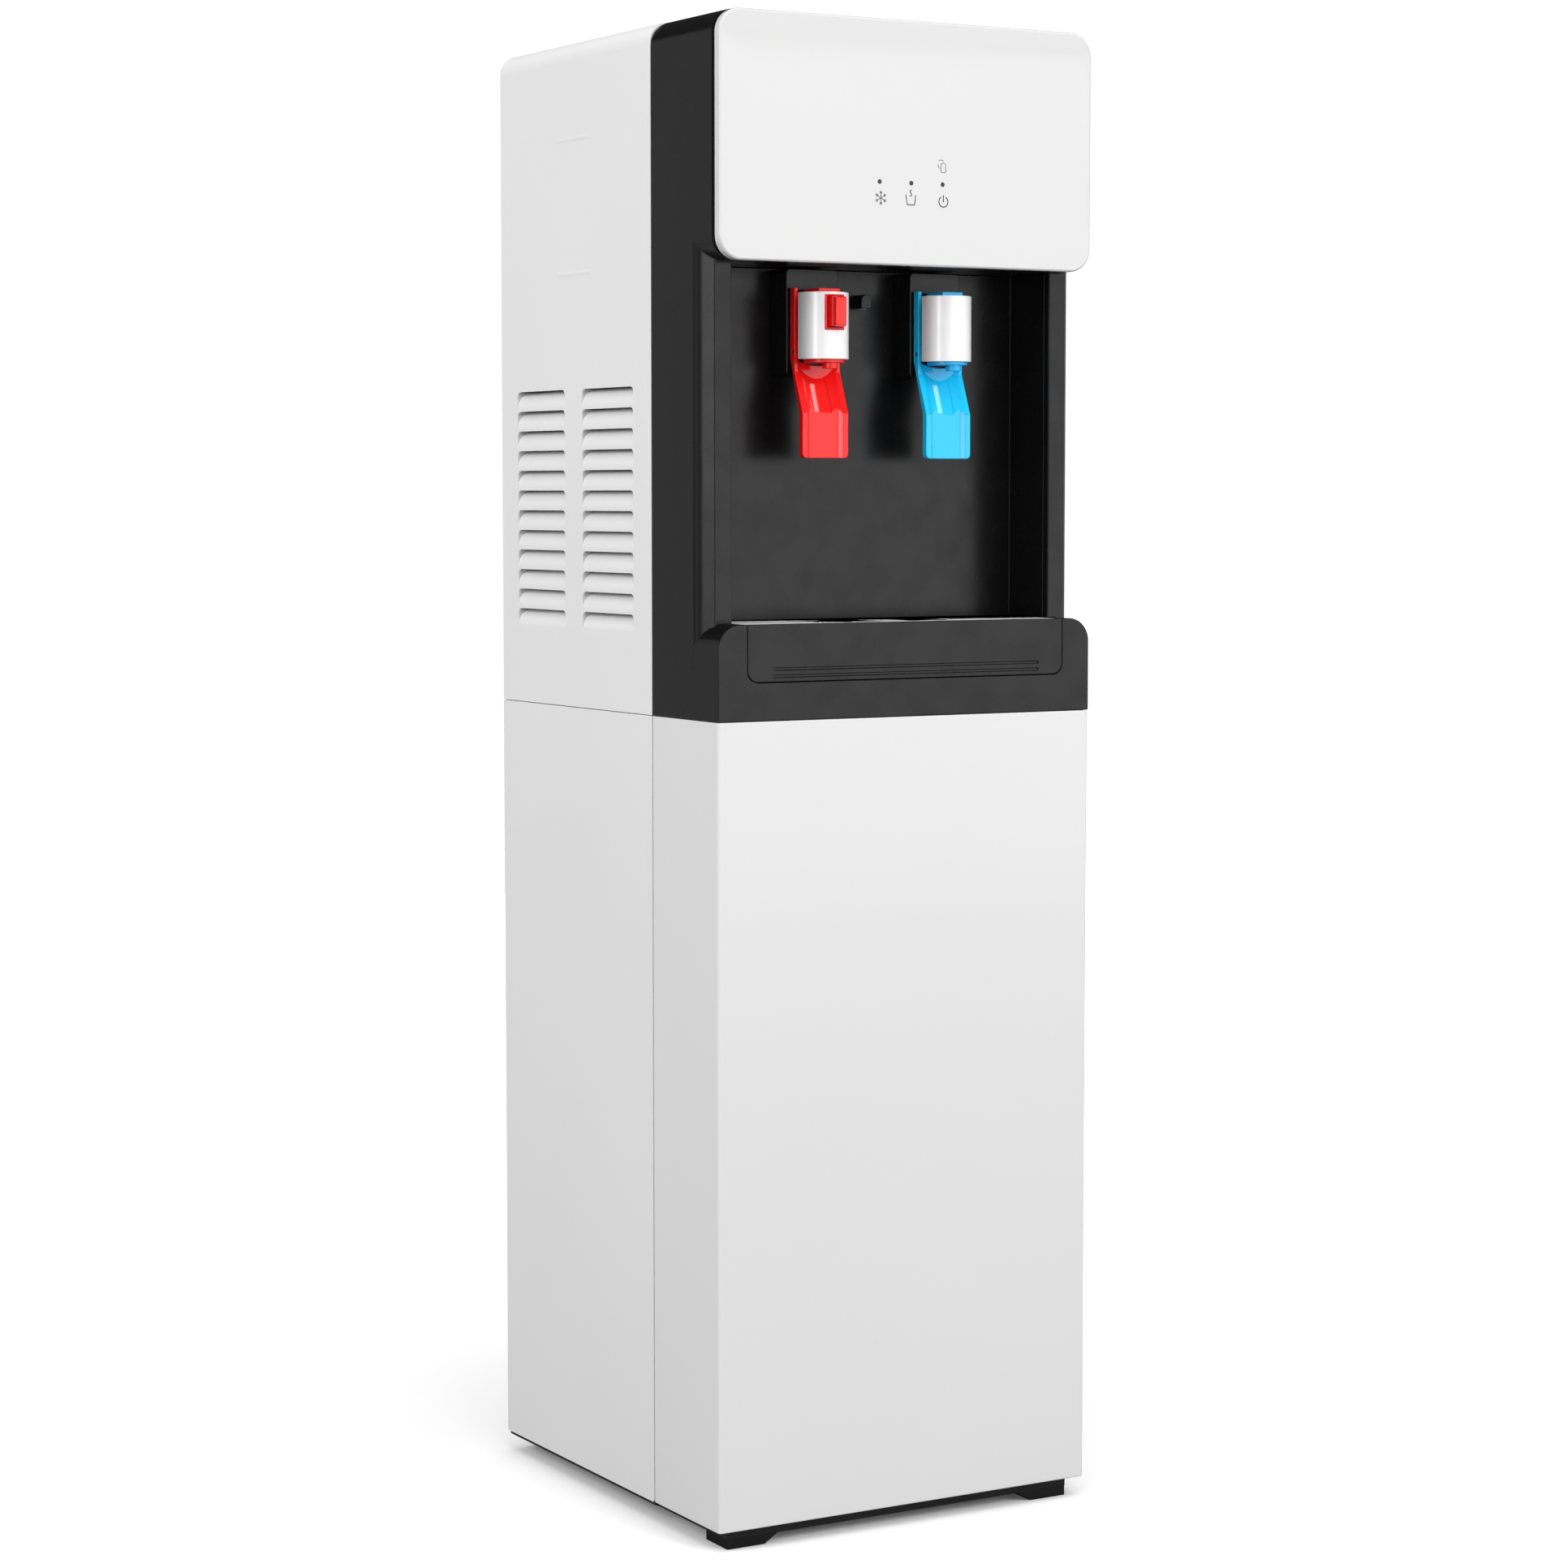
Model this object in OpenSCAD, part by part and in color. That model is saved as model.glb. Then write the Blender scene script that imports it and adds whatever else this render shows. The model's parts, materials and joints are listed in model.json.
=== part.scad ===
// Free-standing hot and cold water dispenser with a cabinet below the taps.
// Origin: centre of the footprint on the ground. +X right, +Y to the back, +Z up.
// A depth is a distance behind the plane of the cabinet door's front face.

/* [Cabinet] */
// Width of the cabinet
body_w = 280; // [276:1:290]
// Depth from the door's front face to the rear panel
body_d = 306; // [304:1:320]
// Gap between the ground and the lower edge of the panels
foot_h = 13.3; // [12.5:0.1:16]
// Height of the cabinet door and lower side panels
door_h = 515.8; // [505:0.1:530]
// Depth of the black front housing and of the door's side flanges
front_d = 87.2; // [86:0.1:90]
// Corner radius of the head seen from the front
head_r = 15.2; // [13:0.1:17]
// Sheet steel thickness of the white panels
sheet_t = 1.2; // [0.8:0.1:1.4]

/* [Dispensing area] */
// Height of the black block that holds the drip tray
tray_base_h = 60.7; // [58:0.1:64]
// Height of the alcove between tray base and head
alcove_h = 226.1; // [220:0.1:235]
// Depth of the alcove's back wall
alcove_d = 63.8; // [63:0.1:66]
// Half width of the alcove
alcove_half_w = 119.4; // [118:0.1:121]
// Height of the head above the alcove
head_h = 154.4; // [150:0.1:160]

/* [Taps] */
// Distance between the two taps
tap_pitch = 93.1; // [90:0.1:96]
// Outer radius of the silver tap cover
cover_r = 16.8; // [16.4:0.1:17]
// Height of the silver tap cover
cover_h = 42.4; // [41:0.1:43]
// Width of the push lever
lever_w = 34; // [33.6:0.1:34.4]
// Travel of the child-lock button
lock_travel = 2.5; // [2:0.1:2.6]

/* [Louvres] */
// Louvre rows in each column
louvre_rows = 12; // [8:1:12]
// Vertical pitch of the louvres
louvre_pitch = 13.4; // [13:0.1:13.5]

/* [Hidden] */
$fn = 96;

half_w = body_w / 2;
y_front = -body_d / 2;
z_seam = foot_h + door_h + 0.3;
z_tray = z_seam + tray_base_h;
z_head = z_tray + alcove_h;
z_top = z_head + head_h;
inner_half_w = half_w - sheet_t;
shell_t = 3;
seam = 0.4;
skirt_half_w = half_w - 9.9;
skirt_z = 6.5;
skirt_top = foot_h - 0.5;
rear_foot_in = 36;
deck_z = z_seam + 1.2;

// Door hinge: a vertical axis just inside the right flange
hinge_x = half_w - 3.4;
hinge_depth = front_d - 5.2;
hinge_pin_r = 2;
running = 0.05;

// Taps
tap_x = tap_pitch / 2;
cover_d = 30.4;
cover_back = 33;
cover_t = 1.6;
cover_z1 = z_head - 16.7;
cover_z0 = cover_z1 - cover_h;
core_d = 28.3;
escutcheon_d = 43.3;
shank_z = z_head - 36.2;
pivot_d = 39.4;
pivot_z = z_head - 54.2;
pivot_r = 1.5;
arm_front = 36.6;
arm_back = 42.4;
pad_front = 26.3;
pad_t = 4.8;
pad_z1 = z_head - 93.2;
pad_z0 = z_head - 121.8;
gutter_r = 33;
gutter_slope = 0.39;
scoop_d = 38;
lock_z0 = z_head - 40.4;
lock_z1 = z_head - 18.9;
lock_half_w = 6.9;
lock_front = 6.8;
lock_back = 18.2;

// Louvres: depths of the two columns, top of the first row
louvre_top = z_seam + 211.5;
louvre_cols = [[112.3, 184.7], [210, 281.3]];
louvre_h = 11.6;
louvre_in = 8;
louvre_r = 12.4;

// Hot tank, cold tank and compressor axes
hot_xy = [-68, 70];
cold_xy = [0, 30];
comp_xy = [66, 70];
cold_z0 = z_seam + 274;
coil_r = 71.2;
coil_turns = 8;
coil_pitch = 14;

// Filters in the cabinet
filter_x = 42;
filter_y = -62;
filter_head_z = 410;
cartridge_r = 29;
socket_r = 14;

// Condenser recess in the upper rear panel
recess_half_w = 112;
recess_z0 = z_seam + 32;
recess_z1 = z_seam + 332;
recess_t = 15;
condenser_d = body_d - 8;
condenser_runs = 11;
condenser_pitch = 26;
condenser_z0 = recess_z0 + 18;
condenser_z1 = condenser_z0 + (condenser_runs - 1) * condenser_pitch;
condenser_half_w = 88;

// Screws that hold the two rear panels
screw_x = half_w - 8;
lower_screw_z = [foot_h + 20, foot_h + door_h - 3.4];
upper_screw_z = [z_seam + 12, z_top - 40];

// Water inlet, power cord and drain at the rear
inlet_x = -90;
cord_x = 92;
rear_port_z = foot_h + 66.7;
drain_x = -70;
drain_z = z_seam + 17;

// Rear rocker switches
rocker_x = [52, 78, 104];
rocker_z = z_seam + 372;
rocker_d = body_d - 5.2;
rocker_tilt = 7;

// ---- Helpers ----

// 2D rectangle with its own corner radius at the bottom and at the top
module round_rect(x0, z0, x1, z1, r_bottom, r_top) {
    translate([x0, z0 + r_bottom]) square([x1 - x0, z1 - z0 - r_bottom - r_top]);
    if (r_bottom > 0) {
        translate([x0 + r_bottom, z0]) square([x1 - x0 - 2 * r_bottom, r_bottom]);
        for (x = [x0 + r_bottom, x1 - r_bottom]) translate([x, z0 + r_bottom]) circle(r_bottom);
    }
    if (r_top > 0) {
        translate([x0 + r_top, z1 - r_top]) square([x1 - x0 - 2 * r_top, r_top]);
        for (x = [x0 + r_top, x1 - r_top]) translate([x, z1 - r_top]) circle(r_top);
    }
}

// Extrudes a front-view outline (X, Z) from depth d0 to depth d1
module extrude_back(d0, d1) {
    translate([0, y_front + d1, 0]) rotate([90, 0, 0]) linear_extrude(d1 - d0) children();
}

// Extrudes a side-view outline (depth, Z) across the width w, centred on x
module extrude_across(x, w) {
    translate([x, y_front, 0]) rotate([90, 0, 90]) linear_extrude(w, center = true) children();
}

// Extrudes a plan-view outline (X, depth) from z0 to z1
module extrude_up(z0, z1) {
    translate([0, y_front, z0]) linear_extrude(z1 - z0) children();
}

// Box between two corners given as [x, depth, z]
module block(a, b) {
    translate([a[0], y_front + a[1], a[2]]) cube([b[0] - a[0], b[1] - a[1], b[2] - a[2]]);
}

// Cylinder along Y from depth d0 to depth d1
module rod_back(x, z, d0, d1, r) {
    translate([x, y_front + d1, z]) rotate([90, 0, 0]) cylinder(r = r, h = d1 - d0);
}

// Straight round rod between two points
module rod(a, b, r) {
    v = b - a;
    len = norm(v);
    translate(a) rotate([0, acos(v[2] / len), atan2(v[1], v[0])]) cylinder(r = r, h = len);
}

// Bent tube through a list of points, with a ball a little thicker than the tube in every bend
module tube_path(points, r) {
    for (i = [0 : len(points) - 2]) rod(points[i], points[i + 1], r);
    for (i = [1 : len(points) - 2]) translate(points[i]) sphere(r * 1.06);
}

module both_sides() {
    children();
    mirror([1, 0, 0]) children();
}

module at_tap(side) {
    translate([side * tap_x, 0, 0]) children();
}

// ---- Casing ----

module base_pan() {
    color("#1b1b1b") difference() {
        union() {
            block([-skirt_half_w, 7.4, skirt_z], [skirt_half_w, body_d - 1.5, skirt_top]);
            block([-inner_half_w + 0.3, front_d + 1, skirt_top - 2],
                  [inner_half_w - 0.3, body_d - 1.5, skirt_top]);
            // Tab that carries the lower hinge pin
            block([skirt_half_w - 2, hinge_depth - 6, 9], [half_w - 0.5, hinge_depth + 2.5, skirt_top]);
            // Inner walls that the lower side panels are screwed to
            both_sides() block([skirt_half_w - 4, front_d + 3, skirt_z],
                               [skirt_half_w - 1.5, body_d - 4, skirt_top + 14]);
        }
        block([-skirt_half_w + 2.5, 9.9, skirt_z - 1], [skirt_half_w - 4.5, body_d - 4, skirt_top - 3]);
        translate([hinge_x, y_front + hinge_depth, 0]) cylinder(r = hinge_pin_r, h = foot_h + 5);
    }
}

module foot_outline() {
    polygon([[skirt_half_w - 27.5, 0], [skirt_half_w, 0], [skirt_half_w, skirt_z],
             [skirt_half_w - 37.7, skirt_z]]);
}

module feet() {
    color("#151515") both_sides() {
        extrude_back(7.4, 35.6) foot_outline();
        translate([-rear_foot_in, 0, 0]) extrude_back(body_d - 59.7, body_d - 31.5) {
            foot_outline();
            translate([skirt_half_w - 26, skirt_z - 0.5]) square([22, skirt_top - 2.5 - skirt_z]);
        }
    }
}

// Lower side panel: a sheet with a flange turned in behind the rear panel
module lower_side_panel() {
    difference() {
        union() {
            extrude_across(-half_w + sheet_t / 2, sheet_t)
                round_rect(front_d + seam, foot_h, body_d - 0.2, foot_h + door_h, 2, 0);
            block([-inner_half_w - 0.4, body_d - 2.6, foot_h + 2],
                  [-inner_half_w + 14, body_d - 1.4, foot_h + door_h]);
            block([-inner_half_w - 0.4, front_d + seam, foot_h + 8],
                  [-inner_half_w + 3.5, front_d + seam + sheet_t, foot_h + door_h - 8]);
        }
        for (z = lower_screw_z) rod_back(-screw_x, z, body_d - 4, body_d, 1.7);
    }
}

module lower_left_panel() {
    color("#e6e6e6") lower_side_panel();
}

module lower_right_panel() {
    color("#e6e6e6") mirror([1, 0, 0]) difference() {
        lower_side_panel();
        // Cut-back that lets the door's rear corner turn past the front flange
        block([-half_w + sheet_t + 0.05, front_d, foot_h - 1],
              [-half_w + 10, front_d + 6, foot_h + door_h + 1]);
    }
}

module lower_rear_panel() {
    color("#dcdcdc") difference() {
        block([-inner_half_w + 0.2, body_d - 1.2, foot_h + 0.2],
              [inner_half_w - 0.2, body_d, z_seam - 0.2]);
        rod_back(inlet_x, rear_port_z, body_d - 3, body_d + 1, 7.2);
        rod_back(cord_x, rear_port_z, body_d - 3, body_d + 1, 6.1);
        for (x = [-screw_x, screw_x], z = lower_screw_z) rod_back(x, z, body_d - 3, body_d + 1, 1.7);
        for (i = [0 : 9], j = [-1, 1])
            translate([0, 0, 140 + 9 * i]) block([j * 40 - 28, body_d - 2, 0], [j * 40 + 28, body_d + 1, 4]);
    }
}

// One louvre pressed inwards from the left side wall: a blade that curves in and two end cheeks
module louvre_blade(d0, d1, z1) {
    z0 = z1 - louvre_h;
    x_out = -half_w + 0.05;
    x_in = -half_w + louvre_in;
    top = z1 - 0.4;
    extrude_back(d0 - 0.8, d1 + 0.8) {
        intersection() {
            difference() {
                translate([x_out + louvre_r, z0]) circle(louvre_r);
                translate([x_out + louvre_r, z0]) circle(louvre_r - 1);
            }
            translate([x_out - 1, z0]) square([x_in - x_out + 1, top - z0]);
        }
        translate([x_out, z0 - 0.6]) square([1.2, 0.7]);
    }
    for (d = [d0 - 0.9, d1 + 0.1]) extrude_back(d, d + 0.8) difference() {
        translate([-inner_half_w - 0.2, z0 - 0.6]) square([x_in + inner_half_w + 0.2, top + 1 - z0]);
        translate([x_out + louvre_r, z0]) circle(louvre_r - 0.5);
    }
}

module louvre_windows() {
    for (col = louvre_cols, row = [0 : louvre_rows - 1]) {
        z1 = louvre_top - row * louvre_pitch;
        round_rect(col[0], z1 - louvre_h, col[1], z1, 1.5, 3.5);
    }
}

module louvred_side() {
    difference() {
        extrude_across(-half_w + sheet_t / 2, sheet_t)
            translate([front_d + seam, z_seam + 0.2]) square([body_d - 0.2 - front_d - seam, 300]);
        extrude_across(-half_w + sheet_t / 2, sheet_t + 2) louvre_windows();
    }
    for (col = louvre_cols, row = [0 : louvre_rows - 1])
        louvre_blade(col[0], col[1], louvre_top - row * louvre_pitch);
    difference() {
        block([-inner_half_w - 0.4, body_d - 2.6, z_seam + 2],
              [-inner_half_w + 14, body_d - 1.4, z_top - 20]);
        for (z = upper_screw_z) rod_back(-screw_x, z, body_d - 4, body_d, 1.7);
    }
}

module upper_wrap() {
    wrap_r = 13;
    color("#eeeeee") {
        extrude_back(front_d + seam, body_d - 0.2) difference() {
            round_rect(-half_w, z_seam + 300, half_w, z_top, 0, wrap_r);
            round_rect(-inner_half_w, z_seam + 299, inner_half_w, z_top - sheet_t, 0, wrap_r - sheet_t);
        }
        both_sides() louvred_side();
    }
}

module upper_rear_panel() {
    color("#dcdcdc") difference() {
        union() {
            extrude_back(body_d - 1.2, body_d)
                round_rect(-inner_half_w + 0.2, z_seam + 0.2, inner_half_w - 0.2,
                           z_top - sheet_t - 0.2, 0, 11);
            block([-recess_half_w - 1.2, body_d - recess_t, recess_z0 - 1.2],
                  [recess_half_w + 1.2, body_d - 0.5, recess_z1 + 1.2]);
        }
        block([-recess_half_w, body_d - recess_t + 1.2, recess_z0], [recess_half_w, body_d + 1, recess_z1]);
        // Openings: switch bezel, drain outlet, refrigerant tubes, panel screws
        block([38.5, body_d - 3, rocker_z - 14], [117.5, body_d + 1, rocker_z + 14]);
        rod_back(drain_x, drain_z, body_d - 3, body_d + 1, 8.3);
        for (s = [-1, 1]) translate([s * (recess_half_w + 0.6), y_front + condenser_d,
                                     s > 0 ? condenser_z0 : condenser_z1])
            rotate([0, 90, 0]) cylinder(r = 3, h = 6, center = true);
        for (x = [-screw_x, screw_x], z = upper_screw_z) rod_back(x, z, body_d - 3, body_d + 1, 1.7);
        for (i = [0 : 3])
            translate([0, 0, z_top - 66 + 9 * i]) block([-100, body_d - 3, 0], [10, body_d + 1, 4]);
    }
}

module mid_deck() {
    color("#b9bcbe") difference() {
        union() {
            block([-half_w + 4, 20, deck_z], [half_w - 4, body_d - 3, deck_z + sheet_t]);
            both_sides() block([-half_w + 4, front_d + 3, deck_z], [-half_w + 5.2, body_d - 3, deck_z + 12]);
        }
        translate([hinge_x, y_front + hinge_depth, deck_z - 1]) cylinder(r = 6, h = 6);
        for (x = [-14, 14]) translate([x, -20, deck_z - 1]) cylinder(r = 4.5, h = 6);
    }
}

// Plan-view outline of one alcove pillar and the housing side behind it
module pillar_outline() {
    a = alcove_half_w + 0.2;
    polygon([[half_w, front_d], [half_w, 31.8], [half_w - 0.7, 31], [half_w - 1, 27.4],
             [half_w - 2.2, 25.2], [half_w - 8.1, 18.4], [a + 0.7, 18.4], [a, 19.1], [a, 23.8],
             [a + 2.6, 23.8], [a + 2.6, 21.4], [half_w - 9.4, 21.4], [half_w - 4.8, 26.6],
             [half_w - shell_t, 31.8], [half_w - shell_t, front_d]]);
}

module front_housing() {
    w = half_w - shell_t;
    pocket = alcove_half_w - 0.35;
    color("#2d2d2d") difference() {
        union() {
            // Head ring and the recessed rim that the face plate sits against
            extrude_back(7.9, front_d) difference() {
                round_rect(-half_w, z_head, half_w, z_top, head_r, head_r);
                round_rect(-w, z_head + shell_t, w, z_top - shell_t, head_r - shell_t, head_r - shell_t);
            }
            extrude_back(5.4, 8.2) difference() {
                round_rect(-half_w + 2, z_head + 2, half_w - 2, z_top - 2, head_r - 2, head_r - 2);
                round_rect(-half_w + 5, z_head + 5, half_w - 5, z_top - 5, head_r - 5, head_r - 5);
            }
            both_sides() extrude_up(z_tray - head_r, z_head + head_r) pillar_outline();
            // Tray base: rounded shell, floor and side walls of the tray pocket
            extrude_back(0, front_d) difference() {
                round_rect(-half_w, z_seam, half_w, z_tray, 0, head_r);
                round_rect(-w, z_seam - 1, w, z_tray - shell_t, 0, head_r - shell_t);
            }
            extrude_back(0, shell_t) round_rect(-w - 1, z_seam, w + 1, z_tray, 0, head_r);
            block([-w - 1, 1, z_seam + 21.1], [w + 1, alcove_d - 0.2, z_seam + 24.1]);
            both_sides() block([pocket, 1, z_seam + 22], [pocket + 3, alcove_d - 0.2, z_tray - 0.5]);
            // Boss that holds the upper hinge pin
            translate([hinge_x, y_front + hinge_depth, z_seam]) cylinder(r = 3.2, h = 16);
        }
        // Pocket for the drip tray, open at the front and the top
        extrude_back(-1, alcove_d) round_rect(-pocket, z_seam + 24.1, pocket, z_tray + 1, 7.6, 0);
        // The alcove's ceiling stays clear of the liner
        block([-w, alcove_d, z_seam + 20], [w, front_d + 1, z_tray + 1]);
        translate([hinge_x, y_front + hinge_depth, z_seam - 1]) cylinder(r = hinge_pin_r, h = 16);
    }
}

module face_plate() {
    m = 1.05;
    color("#f2f2f2") difference() {
        union() {
            extrude_back(-1, 5.4)
                round_rect(-half_w + m, z_head, half_w - m, z_top, head_r, head_r);
            // Posts for the control board
            for (x = [-52, 52], z = [z_head + 26, z_head + 78]) rod_back(x, z, 1, 12, 3);
        }
        difference() {
            extrude_back(1.6, 6)
                round_rect(-half_w + m + 2.6, z_head + 2.6, half_w - m - 2.6, z_top - 2.6,
                           head_r - 2.6, head_r - 2.6);
            for (x = [-52, 52], z = [z_head + 26, z_head + 78]) rod_back(x, z, 1, 12, 3);
        }
        // The upper band leans back a little
        translate([-half_w, y_front - 1, z_top - 14.7]) rotate([-4, 0, 0])
            translate([0, -5, 0]) cube([body_w, 5, 20]);
        for (x = [-23.2, 0.4, 24]) rod_back(x, z_head + 52.2, -2, 3, 1.5);
    }
}

module alcove_liner() {
    a = alcove_half_w;
    color("#3a3a3a") difference() {
        union() {
            extrude_up(z_tray + 0.3, z_head - 0.3) {
                translate([-a - 2.4, alcove_d]) square([2 * a + 4.8, 2.5]);
                for (x = [-a - 2.4, a]) translate([x, 24.1]) square([2.4, alcove_d - 23]);
            }
            block([-a - 2.4, alcove_d + 0.1, z_seam + 21], [a + 2.4, alcove_d + 2.5, z_tray + 1]);
        }
        for (s = [-1, 1]) rod_back(s * tap_x, shank_z, alcove_d - 1, alcove_d + 4, 7.7);
        rod_back(0, z_head - 20, alcove_d - 1, alcove_d + 4, 2);
    }
}

// ---- Drip tray and door ----

module drip_tray() {
    w = alcove_half_w - 0.7;
    color("#343434") {
        difference() {
            extrude_back(0, 3) round_rect(-w, z_seam + 24.5, w, z_tray, 7.3, 0);
            // Two long finger grooves
            for (z = [z_seam + 27.9, z_seam + 32.4]) {
                block([-99.4, -1, z - 0.8], [99.4, 0.9, z + 0.8]);
                for (x = [-99.4, 99.4]) rod_back(x, z, -1, 0.9, 0.8);
            }
        }
        difference() {
            extrude_back(2.5, 61.8) round_rect(-w + 1.2, z_seam + 24.9, w - 1.2, z_tray - 3.6, 6.8, 0);
            extrude_back(4.5, 59.8) round_rect(-w + 3.2, z_seam + 26.9, w - 3.2, z_tray, 2.4, 0);
        }
    }
}

// Rosette of drain slots under one tap
module rosette() {
    circle(3);
    for (k = [0 : 11]) rotate(k * 30) translate([6, -1.25]) square([16, 2.5]);
}

module drip_grille() {
    g = alcove_half_w - 2.4;
    color("#c9c9c9") translate([0, y_front, z_tray - 3.3]) difference() {
        translate([-g, 3.4, 0]) cube([2 * g, 58, 3.2]);
        translate([-g + 2, 5.4, -1]) cube([2 * g - 4, 54, 2.4]);
        translate([0, 0, -1]) linear_extrude(6) {
            for (s = [-1, 1]) translate([s * tap_x, 32]) rosette();
            for (i = [0 : 5], s = [-1, 1]) translate([s * (82 + 6 * i) - 1.2, 14]) square([2.4, 38]);
            for (i = [-2 : 2]) translate([i * 6 - 1.2, 14]) square([2.4, 38]);
        }
    }
}

module door_hinge_ear(z0, z1) {
    translate([hinge_x, y_front + hinge_depth, z0]) cylinder(r = 3, h = z1 - z0);
    block([hinge_x - 3, hinge_depth - 8, z0], [half_w - 1, hinge_depth, z1]);
}

module cabinet_door() {
    t = 2.5;
    z1 = foot_h + door_h;
    rear = front_d - 0.4;
    corner = 1.7;
    color("#f0f0f0") difference() {
        union() {
            extrude_up(foot_h, z1) difference() {
                union() {
                    round_rect(-half_w, 0, half_w, rear - 4, 2.2, 0);
                    translate([-half_w, rear - 5]) square([t, 5]);
                    // The flange beside the hinge ends in a rounded corner
                    translate([half_w - t, rear - 5]) square([t, 5 - corner - 0.1]);
                    translate([half_w - t, rear - 2]) square([t - corner, 1.9]);
                    translate([half_w - corner, rear - corner - 0.1]) circle(corner);
                }
                translate([-half_w + t, t]) square([body_w - 2 * t, rear]);
            }
            // Stiffening lips along the top and bottom edges
            for (z = [foot_h + 4, z1 - 3.2]) block([-125, t - 0.5, z], [125, t + 6, z + 2.4]);
            door_hinge_ear(foot_h + 3.7, foot_h + 9);
            door_hinge_ear(z1 - 9, z1 - 4);
        }
        for (z = [foot_h - 1, z1 - 14]) translate([hinge_x, y_front + hinge_depth, z])
            cylinder(r = hinge_pin_r + running, h = 15);
    }
}

module door_hinge_pins() {
    z1 = foot_h + door_h;
    color("#b0b0b0") translate([hinge_x, y_front + hinge_depth, 0]) {
        translate([0, 0, 9]) cylinder(r = hinge_pin_r, h = foot_h + 2);
        translate([0, 0, z1 - 11]) cylinder(r = hinge_pin_r, h = 26);
    }
}

module door_magnet() {
    color("#4a4a4a") {
        block([-100, 4.2, z_seam - 16], [-80, 20, z_seam - 7]);
        block([-100, 14, z_seam - 7.5], [-80, 20, deck_z - 0.1]);
        block([-96, 20, deck_z - 3], [-84, 30, deck_z]);
    }
}

module door_strike() {
    color("#9a9a9a") block([-103, 2.5, z_seam - 18], [-77, 3.7, z_seam - 5]);
}

// ---- Taps ----

module escutcheons() {
    color("#303030") for (s = [-1, 1]) at_tap(s) difference() {
        extrude_back(escutcheon_d, alcove_d)
            round_rect(-19.1, z_head - 68.7, 19.1, z_head - 1.2, 2.5, 2.5);
        rod_back(0, shank_z, escutcheon_d - 1, alcove_d + 1, 7.7);
    }
}

module tap_body(with_lock_pocket) {
    difference() {
        union() {
            intersection() {
                translate([0, y_front + core_d, cover_z0 - 2.2]) cylinder(r = 13.2, h = 3);
                block([-20, 0, cover_z0 - 3], [20, 36, cover_z0 + 2]);
            }
            translate([0, y_front + core_d, cover_z0]) cylinder(r = 12.6, h = cover_h - 2);
            // Ribs that the silver cover is pressed onto
            block([-cover_r + cover_t + 0.1, cover_d - 1, cover_z0 + 3],
                  [cover_r - cover_t - 0.1, cover_d + 1, cover_z1 - 5]);
            block([-7.7, 21.8, cover_z1 - 22], [7.7, 41.5, cover_z1 + 2.5]);
            block([-13.8, 34.5, pivot_z - 4.1], [13.8, 42.9, pivot_z + 6]);
            rod_back(0, shank_z, 30, alcove_d + 20, 7.5);
            // Outlet spout under the front of the body
            translate([0, y_front + 21, cover_z0 - 6]) cylinder(r = 5, h = 8);
        }
        translate([0, y_front + 21, cover_z0 - 7]) cylinder(r = 3.2, h = shank_z - cover_z0 + 7);
        rod_back(0, shank_z, 21, alcove_d + 21, 3.2);
        translate([0, y_front + pivot_d, pivot_z]) rotate([0, 90, 0])
            cylinder(r = pivot_r, h = 40, center = true);
        if (with_lock_pocket)
            block([-lock_half_w - 0.6, 10, lock_z0 - 0.6],
                  [lock_half_w + 0.6, lock_back + lock_travel + 0.8, lock_z1 + 0.6]);
    }
}

module hot_tap_body() {
    color("#d80f0f") at_tap(-1) tap_body(true);
}

module cold_tap_body() {
    color("#1496d8") at_tap(1) tap_body(false);
}

module tap_cover() {
    extrude_up(cover_z0, cover_z1) difference() {
        union() {
            translate([0, cover_d]) circle(cover_r);
            translate([-cover_r, cover_d]) square([2 * cover_r, cover_back - cover_d]);
        }
        translate([0, cover_d]) circle(cover_r - cover_t);
        translate([-cover_r + cover_t, cover_d]) square([2 * (cover_r - cover_t), cover_back]);
        translate([-cover_r - 1, cover_back]) square([2 * cover_r + 2, cover_r]);
    }
}

module hot_tap_cover() {
    color("#d9d9d9") at_tap(-1) difference() {
        tap_cover();
        // Window for the child-lock button
        block([-lock_half_w - 0.35, 5, lock_z0 - 0.35], [lock_half_w + 0.35, 25, lock_z1 + 0.35]);
    }
}

module cold_tap_cover() {
    color("#d9d9d9") at_tap(1) tap_cover();
}

// Cylinder that leans back with the lever's gutter
module leaning_cylinder(r) {
    lean = atan(gutter_slope);
    half = lever_w / 2 - 3.6;
    translate([0, y_front + pad_front - sqrt(gutter_r * gutter_r - half * half) / cos(lean), pad_z1])
        rotate([-lean, 0, 0]) translate([0, 0, -40]) cylinder(r = r, h = 140);
}

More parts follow.
